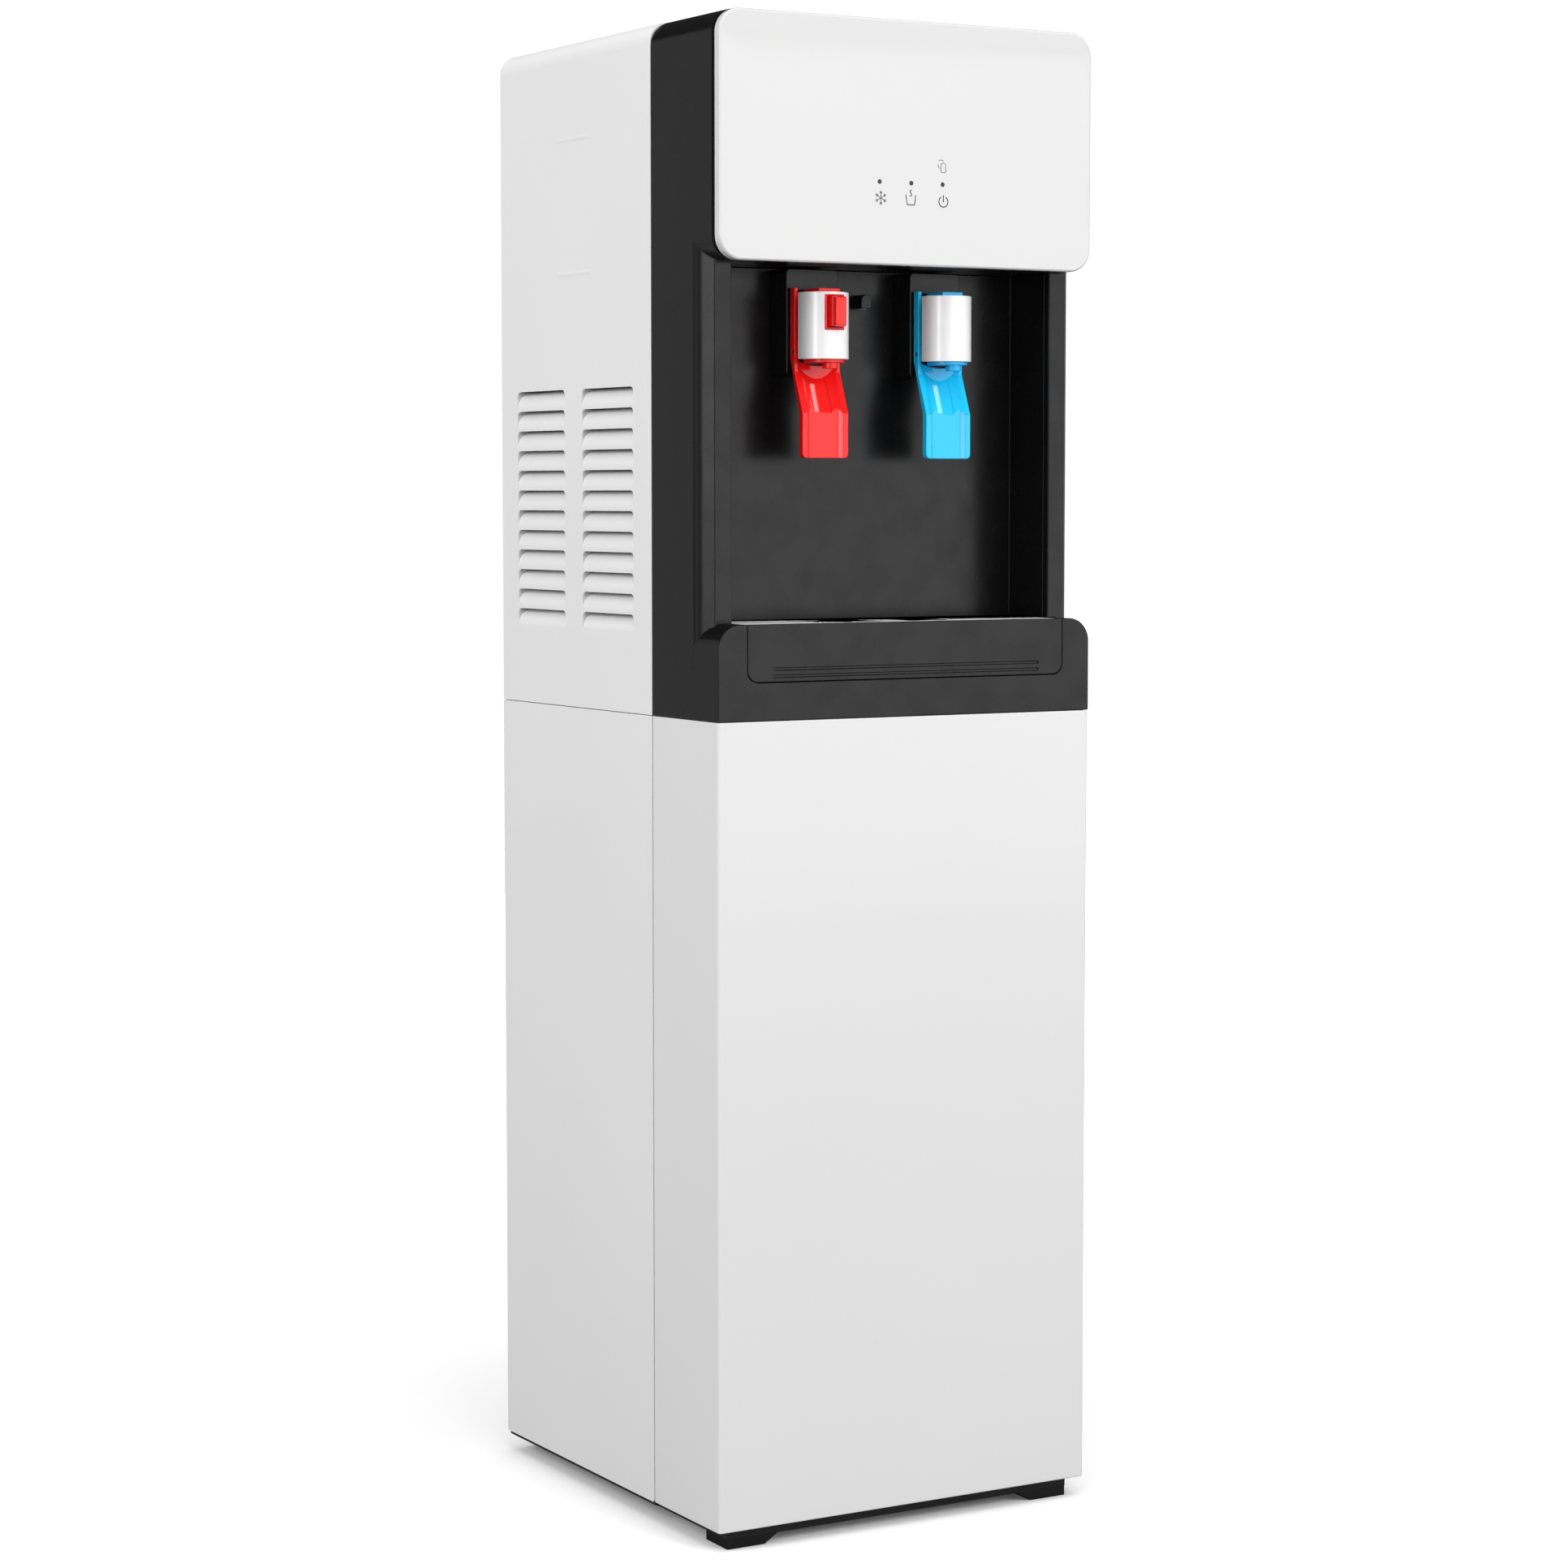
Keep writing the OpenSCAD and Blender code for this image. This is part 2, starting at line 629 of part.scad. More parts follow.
// Push lever: a fork of two arms, a leaning gutter and a pad with a shallow channel
module lever() {
    arm_t = 2.6;
    tongue_top = pivot_z - 4.4;
    arm_foot = pad_z1 + (arm_front - pad_front) / gutter_slope;
    back = pad_front + pad_t;
    dip_r = 31.4;
    difference() {
        union() {
            // Side outline from the pad up to the arms
            extrude_across(0, lever_w) polygon([[pad_front, pad_z1 - 5], [pad_front, pad_z1],
                [arm_front, arm_foot], [arm_front, z_head - 13.4], [arm_back, z_head - 13.4],
                [arm_back, pivot_z], [arm_back - 0.1, tongue_top], [back, pad_z1], [back, pad_z1 - 5]]);
            // Bulge behind the gutter
            intersection() {
                leaning_cylinder(gutter_r + 2.8);
                extrude_across(0, lever_w) polygon([[pad_front + 0.5, pad_z1 - 1],
                    [arm_back - 2.6, pad_z1 - 1], [arm_back - 0.1, tongue_top],
                    [arm_front, tongue_top], [arm_front, arm_foot]]);
            }
            extrude_back(pad_front, back)
                round_rect(-lever_w / 2, pad_z0, lever_w / 2, pad_z1 - 2, 3, 0);
        }
        // Gutter: full width below the arms, then a scoop between them
        intersection() {
            leaning_cylinder(gutter_r);
            union() {
                block([-lever_w, 0, pad_z1 + 0.5], [lever_w, scoop_d, arm_foot - 0.4]);
                block([-lever_w / 2 + arm_t, 0, pad_z1 + 0.5], [lever_w / 2 - arm_t, scoop_d, tongue_top + 1]);
            }
        }
        // Shallow channel down the pad
        extrude_up(pad_z0 - 4, pad_z1 + 3) polygon([[-13.4, pad_front - 1], [-13.4, pad_front],
            [-10.6, pad_front + 2.8], [10.6, pad_front + 2.8], [13.4, pad_front], [13.4, pad_front - 1]]);
        // Space between the arms, ending in a shallow curve
        block([-lever_w / 2 + arm_t, 20, tongue_top], [lever_w / 2 - arm_t, 50, z_head]);
        intersection() {
            rod_back(0, tongue_top - 4.1 + dip_r, 34, 50, dip_r);
            block([-lever_w / 2 + arm_t, 20, tongue_top - 6], [lever_w / 2 - arm_t, 60, z_head]);
        }
        translate([0, y_front + pivot_d, pivot_z]) rotate([0, 90, 0])
            cylinder(r = pivot_r + running, h = 60, center = true);
    }
}

module hot_lever() {
    color("#ff1a1a") at_tap(-1) lever();
}

module cold_lever() {
    color("#1ab4ee") at_tap(1) lever();
}

module lever_pivot_pins() {
    color("#b8b8b8") for (s = [-1, 1]) at_tap(s)
        translate([0, y_front + pivot_d, pivot_z]) rotate([0, 90, 0])
            cylinder(r = pivot_r, h = lever_w - 0.6, center = true);
}

// Child-lock button: a base with a rim and a recess, and a cap with bevelled edges
module child_lock_button() {
    cap_z0 = lock_z0 + 1.7;
    cap_z1 = lock_z1 - 1;
    color("#ff2020") at_tap(-1) {
        difference() {
            extrude_up(lock_z0, lock_z1) intersection() {
                translate([0, cover_d]) circle(cover_r - 0.4);
                translate([-lock_half_w, 5]) square([2 * lock_half_w, lock_back - 5]);
            }
            block([-lock_half_w + 1.4, 5, lock_z0 + 1], [lock_half_w - 1.4, lock_back - 1.2, lock_z1 - 0.6]);
        }
        hull() {
            block([-4.5, lock_front + 2.4, cap_z0], [4.5, lock_back - 0.6, cap_z1]);
            block([-3.8, lock_front, cap_z0 + 0.8], [3.8, lock_front + 4, cap_z1 - 0.8]);
        }
    }
}

module night_light_hood() {
    z1 = z_head - 15.5;
    color("#1d1d1d") difference() {
        union() {
            extrude_back(52.6, alcove_d) {
                translate([-3.8, z1 - 9.1]) square([7.6, 5.3]);
                translate([0, z1 - 3.8]) circle(3.8);
            }
            rod_back(0, z_head - 20, alcove_d - 1, alcove_d + 6, 1.9);
        }
        translate([0, y_front + 57, z1 - 10]) cylinder(r = 2.4, h = 4);
    }
}

module night_light_lens() {
    color("#eef3ff") translate([0, y_front + 57, z_head - 25.2]) cylinder(r = 2.3, h = 3.5);
}

// ---- Electronics in the head ----

module control_board() {
    color("#1f6b3a") {
        block([-62, 12, z_head + 18], [62, 13.6, z_head + 86]);
        block([-34, 13.6, z_head + 56], [-8, 22, z_head + 80]);
        block([10, 13.6, z_head + 60], [40, 20, z_head + 76]);
        block([-56, 13.6, z_head + 22], [-36, 24, z_head + 34]);
    }
}

module light_guides() {
    color("#101010") for (x = [-23.2, 0.4, 24]) rod_back(x, z_head + 52.2, -1, 12, 1.45);
}

// ---- Hot side ----

// Half profile of a tank with rounded edges, to be turned about Z
module tank_profile(r, h, dome) {
    translate([0, dome]) square([r, h - 2 * dome]);
    square([r - dome, h]);
    for (z = [dome, h - dome]) translate([r - dome, z]) circle(dome);
}

module hot_tank() {
    h = 158;
    color("#c8cacc") translate([hot_xy[0], hot_xy[1], z_seam + 72]) difference() {
        union() {
            rotate_extrude() tank_profile(45, h, 9);
            translate([0, 0, h - 1]) cylinder(r = 6, h = 5);
            translate([0, 0, -4]) cylinder(r = 6, h = 5);
        }
        translate([0, 0, 1.5]) rotate_extrude() tank_profile(43.5, h - 3, 7.5);
        translate([0, 0, -5]) cylinder(r = 3.2, h = h + 10);
    }
}

module heater_band() {
    color("#a58b4a") translate([hot_xy[0], hot_xy[1], z_seam + 110]) difference() {
        union() {
            cylinder(r = 47.4, h = 36);
            translate([44, -7, 10]) cube([6, 4, 14]);
            translate([44, 3, 10]) cube([6, 4, 14]);
        }
        translate([0, 0, -1]) cylinder(r = 45.2, h = 38);
    }
}

module hot_tank_sleeve() {
    color("#d8d4c6") translate([hot_xy[0], hot_xy[1], z_seam + 68]) difference() {
        cylinder(r = 58, h = 168);
        translate([0, 0, -1]) cylinder(r = 51, h = 170);
    }
}

// ---- Cold side ----

module cold_tank() {
    h = 142;
    color("#c8cacc") translate([cold_xy[0], cold_xy[1], cold_z0]) difference() {
        union() {
            cylinder(r = 68, h = h);
            translate([20, 0, -8]) cylinder(r = 4, h = 10);
            translate([-14, -4, -8]) cylinder(r = 4, h = 10);
        }
        translate([0, 0, 1.2]) cylinder(r = 66.8, h = h);
        translate([20, 0, -9]) cylinder(r = 3, h = 12);
        translate([-14, -4, -9]) cylinder(r = 3, h = 12);
    }
}

module cold_tank_lid() {
    color("#f4f4f4") translate([cold_xy[0], cold_xy[1], cold_z0 + 142.2]) {
        difference() {
            union() {
                cylinder(r = 70, h = 3);
                translate([0, 0, -6]) cylinder(r = 66.4, h = 7);
            }
            translate([0, 0, -7]) cylinder(r = 63, h = 7);
            translate([-30, 20, -10]) cylinder(r = 4, h = 16);
        }
        // Stem of the level sensor with its end stop
        translate([25, -10, -62]) cylinder(r = 2.5, h = 63);
        translate([25, -10, -64]) cylinder(r = 5, h = 2.5);
    }
}

module level_float() {
    color("#f0f0f0") translate([cold_xy[0] + 25, cold_xy[1] - 10, cold_z0 + 81]) difference() {
        cylinder(r = 12, h = 16);
        translate([0, 0, -1]) cylinder(r = 2.8, h = 18);
    }
}

module evaporator_coil() {
    color("#b87333") translate([cold_xy[0], cold_xy[1], cold_z0 + 14]) {
        for (i = [0 : coil_turns - 1]) translate([0, 0, i * coil_pitch])
            rotate_extrude() translate([coil_r + 0.2, 0]) circle(3, $fn = 24);
        for (s = [-1, 1]) translate([s * (coil_r + 0.2), 0, -36])
            cylinder(r = 3, h = 36 + (coil_turns - 1) * coil_pitch);
    }
}

module cold_insulation_cup() {
    color("#efece0") translate([cold_xy[0], cold_xy[1], cold_z0 - 12]) difference() {
        cylinder(r = 87, h = 154);
        translate([0, 0, 11.8]) cylinder(r = 75.4, h = 160);
        for (x = [-coil_r - 0.2, coil_r + 0.2]) translate([x, 0, -1]) cylinder(r = 3.4, h = 20);
        translate([20, 0, -1]) cylinder(r = 5.4, h = 20);
        translate([-14, -4, -1]) cylinder(r = 5.4, h = 20);
    }
}

module cold_insulation_lid() {
    color("#efece0") translate([cold_xy[0], cold_xy[1], cold_z0 + 142.2]) difference() {
        cylinder(r = 87, h = 12);
        translate([0, 0, -1]) cylinder(r = 71, h = 5);
        translate([-30, 20, -1]) cylinder(r = 5, h = 20);
    }
}

// ---- Refrigeration ----

module compressor() {
    r = 50;
    z0 = deck_z + 12;
    color("#1e1e1e") translate([comp_xy[0], comp_xy[1], z0]) {
        rotate_extrude() tank_profile(r, 126, 20);
        translate([0, 0, 58]) cylinder(r = r + 2.5, h = 3);
        difference() {
            translate([-56, -30, -5]) cube([112, 60, 5.5]);
            for (x = [-48, 48], y = [-22, 22]) translate([x, y, -6]) cylinder(r = 5.2, h = 8);
        }
        translate([-r - 14, -22, 44]) cube([20, 44, 40]);
        translate([28, 30, 80]) cylinder(r = 4, h = 50);
        translate([40, 12, 80]) cylinder(r = 4, h = 50);
    }
}

module compressor_grommets() {
    color("#111111") translate([comp_xy[0], comp_xy[1], deck_z + sheet_t])
        for (x = [-48, 48], y = [-22, 22]) translate([x, y, 0]) {
            cylinder(r = 8, h = 5.6);
            cylinder(r = 5, h = 13);
            translate([0, 0, 11.5]) cylinder(r = 7, h = 2.5);
        }
}

// Serpentine of straight runs joined by half rings
module condenser_coil() {
    y = y_front + condenser_d;
    w = condenser_half_w;
    color("#1a1a1a") {
        for (i = [0 : condenser_runs - 1]) translate([0, 0, condenser_z0 + i * condenser_pitch])
            rod([-w, y, 0], [w, y, 0], 2.5);
        for (i = [0 : condenser_runs - 2]) {
            s = i % 2 == 0 ? -1 : 1;
            translate([s * w, y, condenser_z0 + (i + 0.5) * condenser_pitch])
                rotate([90, s * 90, 0]) rotate_extrude(angle = 180)
                    translate([condenser_pitch / 2, 0]) circle(2.5, $fn = 24);
        }
        rod([w - 1, y, condenser_z0], [recess_half_w - 6, y, condenser_z0], 2.5);
        rod([-recess_half_w + 6, y, condenser_z1], [-w + 1, y, condenser_z1], 2.5);
    }
}

module condenser_wires() {
    color("#1a1a1a") for (i = [0 : 20], s = [-1, 1])
        translate([(i - 10) * 8 + s * 1.5, y_front + condenser_d + s * 3.35, condenser_z0 - 6])
            cylinder(r = 0.8, h = condenser_z1 - condenser_z0 + 12, $fn = 24);
}

module refrigerant_tubes() {
    x = comp_xy[0];
    y = comp_xy[1];
    top = deck_z + 12;
    edge = cold_xy[0] + coil_r + 0.2;
    header = cold_z0 - 22;
    yc = y_front + condenser_d;
    drier_z = cold_z0 - 34;
    color("#b87333") {
        // Suction line from the evaporator down to the compressor
        tube_path([[edge, cold_xy[1], header], [edge, cold_xy[1], header - 24],
                   [x + 28, y + 30, header - 44], [x + 28, y + 30, top + 130.2]], 3);
        // Discharge line to the foot of the condenser
        tube_path([[x + 40, y + 12, top + 130.2], [x + 40, y + 12, top + 140], [124, 96, top + 140],
                   [124, yc, top + 124], [124, yc, condenser_z0],
                   [recess_half_w - 6, yc, condenser_z0]], 2.3);
        // Head of the condenser to the drier, then the capillary tube to the evaporator
        tube_path([[-recess_half_w + 6, yc, condenser_z1], [-124, yc, condenser_z1],
                   [-124, 122, condenser_z1], [-124, 112, condenser_z1 - 12],
                   [-124, 112, drier_z + 48]], 2.3);
        translate([-124, 112, drier_z]) cylinder(r = 8, h = 52);
        tube_path([[-124, 112, drier_z + 1], [-124, 112, header - 8],
                   [-edge, cold_xy[1], header - 8], [-edge, cold_xy[1], header]], 1.6);
    }
}

// ---- Water path ----

module water_hoses() {
    shank_end = y_front + alcove_d + 19.9;
    cold_port = [cold_xy[0] + 20, cold_xy[1], cold_z0 - 8.1];
    feed_port = [cold_xy[0] - 14, cold_xy[1] - 4, cold_z0 - 8.1];
    hot_top = z_seam + 234.1;
    hot_low = z_seam + 67.9;
    color("#e9e9e4") {
        tube_path([[hot_xy[0], hot_xy[1], hot_top], [hot_xy[0], hot_xy[1], hot_top + 8],
                   [-tap_x, -36, hot_top + 8], [-tap_x, -52, shank_z], [-tap_x, shank_end, shank_z]], 4);
        tube_path([cold_port, cold_port - [0, 0, 12], [tap_x, -36, cold_port[2] - 12],
                   [tap_x, -52, shank_z], [tap_x, shank_end, shank_z]], 4);
        tube_path([feed_port, [feed_port[0], feed_port[1], hot_low - 14],
                   [hot_xy[0], hot_xy[1], hot_low - 14], [hot_xy[0], hot_xy[1], hot_low]], 3.2);
    }
}

module supply_tubes() {
    port = filter_head_z + 38.2;
    top = filter_head_z + 46;
    z = rear_port_z;
    color("#f6f6f6") {
        // Inlet valve to the sediment filter head
        tube_path([[inlet_x, 84.8, z], [inlet_x, 60, z], [-110, 30, z + 40], [-110, -10, top],
                   [-70, -14, top], [-filter_x - 14, filter_y, top], [-filter_x - 14, filter_y, port]], 3.1);
        // Between the two filter heads
        tube_path([[-filter_x + 14, filter_y, port], [-filter_x + 14, filter_y, top],
                   [filter_x - 14, filter_y, top], [filter_x - 14, filter_y, port]], 3.1);
        // Carbon filter head up through the deck to the cold tank
        tube_path([[filter_x + 14, filter_y, port], [filter_x + 14, filter_y, top],
                   [14, -20, top + 30], [14, -20, z_seam + 40], [-112, -20, z_seam + 60],
                   [-112, -20, z_top - 8.6], [-30, 50, z_top - 8.6], [-30, 50, cold_z0 + 138]], 3.1);
    }
}

module inlet_valve() {
    z = rear_port_z;
    color("#f0f0f0") {
        block([inlet_x - 14, body_d - 62, z - 14], [inlet_x + 14, body_d - 36, z + 14]);
        translate([inlet_x, y_front + body_d - 49, z + 13]) cylinder(r = 11, h = 28);
        rod_back(inlet_x, z, body_d - 68, body_d - 30, 7);
    }
}

module inlet_fitting() {
    color("#f4f4f4") difference() {
        union() {
            rod_back(inlet_x, rear_port_z, body_d - 29.8, body_d - 1.4, 7);
            rod_back(inlet_x, rear_port_z, body_d - 4.4, body_d - 1.4, 10);
            rod_back(inlet_x, rear_port_z, body_d - 1.5, body_d + 1, 6.6);
        }
        rod_back(inlet_x, rear_port_z, body_d - 13, body_d + 2, 3.2);
    }
}

module filter_bracket() {
    z0 = filter_head_z + 30.3;
    color("#c4c6c8") difference() {
        union() {
            block([-88, 62, z0], [88, 122, z0 + 2]);
            both_sides() {
                block([86, 62, z0], [88, 122, deck_z - 0.1]);
                block([76, 62, deck_z - 2.1], [88, 122, deck_z - 0.1]);
            }
        }
        for (s = [-1, 1], k = [-14, 14])
            translate([s * filter_x + k, filter_y, z0 - 1]) cylinder(r = 5.4, h = 4);
    }
}

module filter_heads() {
    color("#e8e8ea") for (s = [-1, 1]) translate([s * filter_x, filter_y, filter_head_z]) difference() {
        union() {
            cylinder(r = 30, h = 26);
            translate([0, 0, 25]) cylinder(r = 26, h = 5);
            for (k = [-14, 14]) translate([k, 0, 29]) cylinder(r = 5, h = 9);
        }
        translate([0, 0, -1]) cylinder(r = socket_r + running, h = 17);
    }
}

module filter_cartridge() {
    h = 232;
    rotate_extrude() tank_profile(cartridge_r, h, 8);
    translate([0, 0, h - 1]) cylinder(r = socket_r, h = 17);
    // Grip ribs round the foot
    for (k = [0 : 11]) rotate(k * 30) translate([cartridge_r - 0.6, -1.5, 12]) cube([1.8, 3, 26]);
}

module sediment_filter() {
    color("#f2f4f6") translate([-filter_x, filter_y, filter_head_z - 233]) filter_cartridge();
}

module carbon_filter() {
    color("#dfe6ea") translate([filter_x, filter_y, filter_head_z - 233]) filter_cartridge();
}

// ---- Rear fittings ----

module switch_bezel() {
    color("#202020") difference() {
        union() {
            block([36, body_d, rocker_z - 16.5], [120, body_d + 1, rocker_z + 16.5]);
            block([38.8, body_d - 16, rocker_z - 13.7], [117.2, body_d + 0.5, rocker_z + 13.7]);
        }
        for (x = rocker_x) {
            block([x - 7, body_d - 14, rocker_z - 10], [x + 7, body_d + 2, rocker_z + 10]);
            translate([x, y_front + rocker_d, rocker_z]) rotate([0, 90, 0])
                cylinder(r = 1.5, h = 22, center = true);
        }
    }
}

// Rocker with two faces that meet in a shallow valley, resting on its lower side
module rocker(x) {
    translate([x, y_front + rocker_d, rocker_z]) rotate([-rocker_tilt, 0, 0]) {
        rotate([90, 0, 90]) linear_extrude(13.2, center = true) {
            polygon([[-5, -4], [1.5, -9.2], [4.6, -9], [3.4, 0], [4.6, 9], [1.5, 9.2], [-5, 4]]);
            circle(5);
        }
        rotate([0, 90, 0]) cylinder(r = 1.5 - running, h = 18, center = true);
    }
}

module hot_switch() {
    color("#c41616") rocker(rocker_x[0]);
}

module cold_switch() {
    color("#17803a") rocker(rocker_x[1]);
}

module night_light_switch() {
    color("#e6e6e6") rocker(rocker_x[2]);
}

module cord_gland() {
    color("#1a1a1a") difference() {
        union() {
            rod_back(cord_x, rear_port_z, body_d - 16, body_d + 0.5, 6);
            rod_back(cord_x, rear_port_z, body_d, body_d + 1, 9);
            rod_back(cord_x, rear_port_z, body_d - 7, body_d - 1.5, 9);
        }
        rod_back(cord_x, rear_port_z, body_d - 17, body_d + 2, 3.6);
    }
}

module drain_outlet() {
    color("#ececec") difference() {
        union() {
            rod_back(drain_x, drain_z, body_d - 46, body_d - 6, 8);
            rod_back(drain_x, drain_z, body_d - 10, body_d - 1.4, 11);
            rod_back(drain_x, drain_z, body_d - 6.5, body_d - 0.4, 6);
        }
        rod_back(drain_x, drain_z, body_d - 40, body_d + 1, 4.2);
    }
}

module drain_cap() {
    color("#2a2a2a") difference() {
        rod_back(drain_x, drain_z, body_d - 12, body_d + 1, 4.1);
        block([drain_x - 0.8, body_d - 0.2, drain_z - 3.2], [drain_x + 0.8, body_d + 2, drain_z + 3.2]);
    }
}

module panel_screws() {
    color("#cfcfcf") {
        for (x = [-screw_x, screw_x], z = concat(lower_screw_z, upper_screw_z)) {
            rod_back(x, z, body_d - 9, body_d + 0.2, 1.5);
            rod_back(x, z, body_d, body_d + 1, 3.4);
        }
    }
}

base_pan();
feet();
lower_left_panel();
lower_right_panel();
lower_rear_panel();
upper_wrap();
upper_rear_panel();
mid_deck();
front_housing();
face_plate();
alcove_liner();
drip_tray();
drip_grille();
cabinet_door();
door_hinge_pins();
door_magnet();
door_strike();
escutcheons();
hot_tap_body();
cold_tap_body();
hot_tap_cover();
cold_tap_cover();
hot_lever();
cold_lever();
lever_pivot_pins();
child_lock_button();
night_light_hood();
night_light_lens();
control_board();
light_guides();
hot_tank();
heater_band();
hot_tank_sleeve();
cold_tank();
cold_tank_lid();
level_float();
evaporator_coil();
cold_insulation_cup();
cold_insulation_lid();
compressor();
compressor_grommets();
condenser_coil();
condenser_wires();
refrigerant_tubes();
water_hoses();
supply_tubes();
inlet_valve();
inlet_fitting();
filter_bracket();
filter_heads();
sediment_filter();
carbon_filter();
switch_bezel();
hot_switch();
cold_switch();
night_light_switch();
cord_gland();
drain_outlet();
drain_cap();
panel_screws();
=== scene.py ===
import json
import math

import bmesh
import bpy
from mathutils import Euler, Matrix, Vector


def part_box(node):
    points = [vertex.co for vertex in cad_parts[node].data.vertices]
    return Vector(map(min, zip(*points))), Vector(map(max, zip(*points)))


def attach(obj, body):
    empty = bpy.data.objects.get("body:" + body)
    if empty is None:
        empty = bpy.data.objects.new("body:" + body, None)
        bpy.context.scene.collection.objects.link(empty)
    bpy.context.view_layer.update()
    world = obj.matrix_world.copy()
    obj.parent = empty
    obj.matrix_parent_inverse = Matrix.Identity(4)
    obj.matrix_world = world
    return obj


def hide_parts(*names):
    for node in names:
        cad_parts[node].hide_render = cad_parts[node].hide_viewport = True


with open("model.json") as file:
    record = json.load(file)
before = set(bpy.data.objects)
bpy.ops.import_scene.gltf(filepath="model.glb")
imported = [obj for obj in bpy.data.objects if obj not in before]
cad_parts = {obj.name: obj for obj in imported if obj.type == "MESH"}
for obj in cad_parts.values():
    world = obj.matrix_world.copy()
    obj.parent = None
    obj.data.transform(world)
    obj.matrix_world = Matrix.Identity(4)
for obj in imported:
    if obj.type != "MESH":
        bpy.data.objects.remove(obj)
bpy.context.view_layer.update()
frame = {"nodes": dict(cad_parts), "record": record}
nodes = frame["nodes"]
scene = bpy.context.scene
MM = 0.001

# ---- Camera: solved from the edges of the upright box in the photograph ----

FOCAL_LENGTH = 84.69
SENSOR_WIDTH = 36.0
CAMERA_PLACE = (-1.2582, -2.1581, 0.6722)
CAMERA_DOWN = 4.51
CAMERA_LEFT = -30.17
CLIP = (0.05, 60.0)

camera_data = bpy.data.cameras.new("camera")
camera_data.lens = FOCAL_LENGTH
camera_data.sensor_width = SENSOR_WIDTH
camera_data.clip_start, camera_data.clip_end = CLIP
camera = bpy.data.objects.new("camera", camera_data)
camera.location = CAMERA_PLACE
camera.rotation_euler = Euler((math.radians(90 - CAMERA_DOWN), 0.0, math.radians(CAMERA_LEFT)))
scene.collection.objects.link(camera)
scene.camera = camera
scene.view_settings.view_transform = "Standard"

# ---- Materials ----


def new_material(name, color, roughness, metallic=0.0, specular=0.5, coat=0.0,
                 coat_roughness=0.1):
    """A Principled material, its even values on the sockets.

    Returns the material, its nodes, its links and the shader.
    """
    material = bpy.data.materials.new(name)
    material.use_nodes = True
    tree = material.node_tree
    shader = tree.nodes["Principled BSDF"]
    shader.inputs["Base Color"].default_value = (*color, 1.0)
    shader.inputs["Roughness"].default_value = roughness
    shader.inputs["Metallic"].default_value = metallic
    shader.inputs["Specular IOR Level"].default_value = specular
    shader.inputs["Coat Weight"].default_value = coat
    shader.inputs["Coat Roughness"].default_value = coat_roughness
    return material, tree.nodes, tree.links, shader


def object_noise(tree_nodes, links, scale, detail=3.0, stretch=(1.0, 1.0, 1.0)):
    """Noise in object coordinates, metres: scale is features per metre."""
    coords = tree_nodes.new("ShaderNodeTexCoord")
    mapping = tree_nodes.new("ShaderNodeMapping")
    mapping.inputs["Scale"].default_value = stretch
    links.new(coords.outputs["Object"], mapping.inputs["Vector"])
    noise = tree_nodes.new("ShaderNodeTexNoise")
    noise.inputs["Scale"].default_value = scale
    noise.inputs["Detail"].default_value = detail
    links.new(mapping.outputs["Vector"], noise.inputs["Vector"])
    return noise.outputs["Fac"]


def spread(tree_nodes, links, value, low, high):
    """Maps the middle of a noise to the range low..high."""
    ramp = tree_nodes.new("ShaderNodeMapRange")
    ramp.inputs["From Min"].default_value = 0.3
    ramp.inputs["From Max"].default_value = 0.7
    ramp.inputs["To Min"].default_value = low
    ramp.inputs["To Max"].default_value = high
    links.new(value, ramp.inputs["Value"])
    return ramp.outputs["Result"]


def mottle(tree_nodes, links, shader, color, amount, scale):
    """Lets the base colour wander a little around its mean."""
    mix = tree_nodes.new("ShaderNodeMix")
    mix.data_type = "RGBA"
    mix.inputs["A"].default_value = (*[c * (1 - amount) for c in color], 1.0)
    mix.inputs["B"].default_value = (*[min(1.0, c * (1 + amount)) for c in color], 1.0)
    factor = spread(tree_nodes, links, object_noise(tree_nodes, links, scale), 0.0, 1.0)
    links.new(factor, mix.inputs["Factor"])
    links.new(mix.outputs["Result"], shader.inputs["Base Color"])


def bump(tree_nodes, links, shader, height, strength, distance, before=None):
    """Adds a bump on top of an earlier one, and feeds it to the shader."""
    node = tree_nodes.new("ShaderNodeBump")
    node.inputs["Strength"].default_value = strength
    node.inputs["Distance"].default_value = distance
    links.new(height, node.inputs["Height"])
    if before is not None:
        links.new(before, node.inputs["Normal"])
    links.new(node.outputs["Normal"], shader.inputs["Normal"])
    return node.outputs["Normal"]


def plastic(name, color, roughness, grain=1400.0, depth=0.00003, specular=0.5, coat=0.0,
            wander=0.02, patch=14.0, vary=0.04, coat_roughness=0.1):
    """Moulded plastic: faint colour patches, fine grain and a little roughness change."""
    material, tree_nodes, links, shader = new_material(name, color, roughness, 0.0, specular,
                                                       coat, coat_roughness)
    mottle(tree_nodes, links, shader, color, wander, patch)
    rough = spread(tree_nodes, links, object_noise(tree_nodes, links, 45.0),
                   roughness - vary, roughness + vary)
    links.new(rough, shader.inputs["Roughness"])
    bump(tree_nodes, links, shader, object_noise(tree_nodes, links, grain, 2.0), 0.5, depth)
    return material


CREASE_HALF = 0.0022


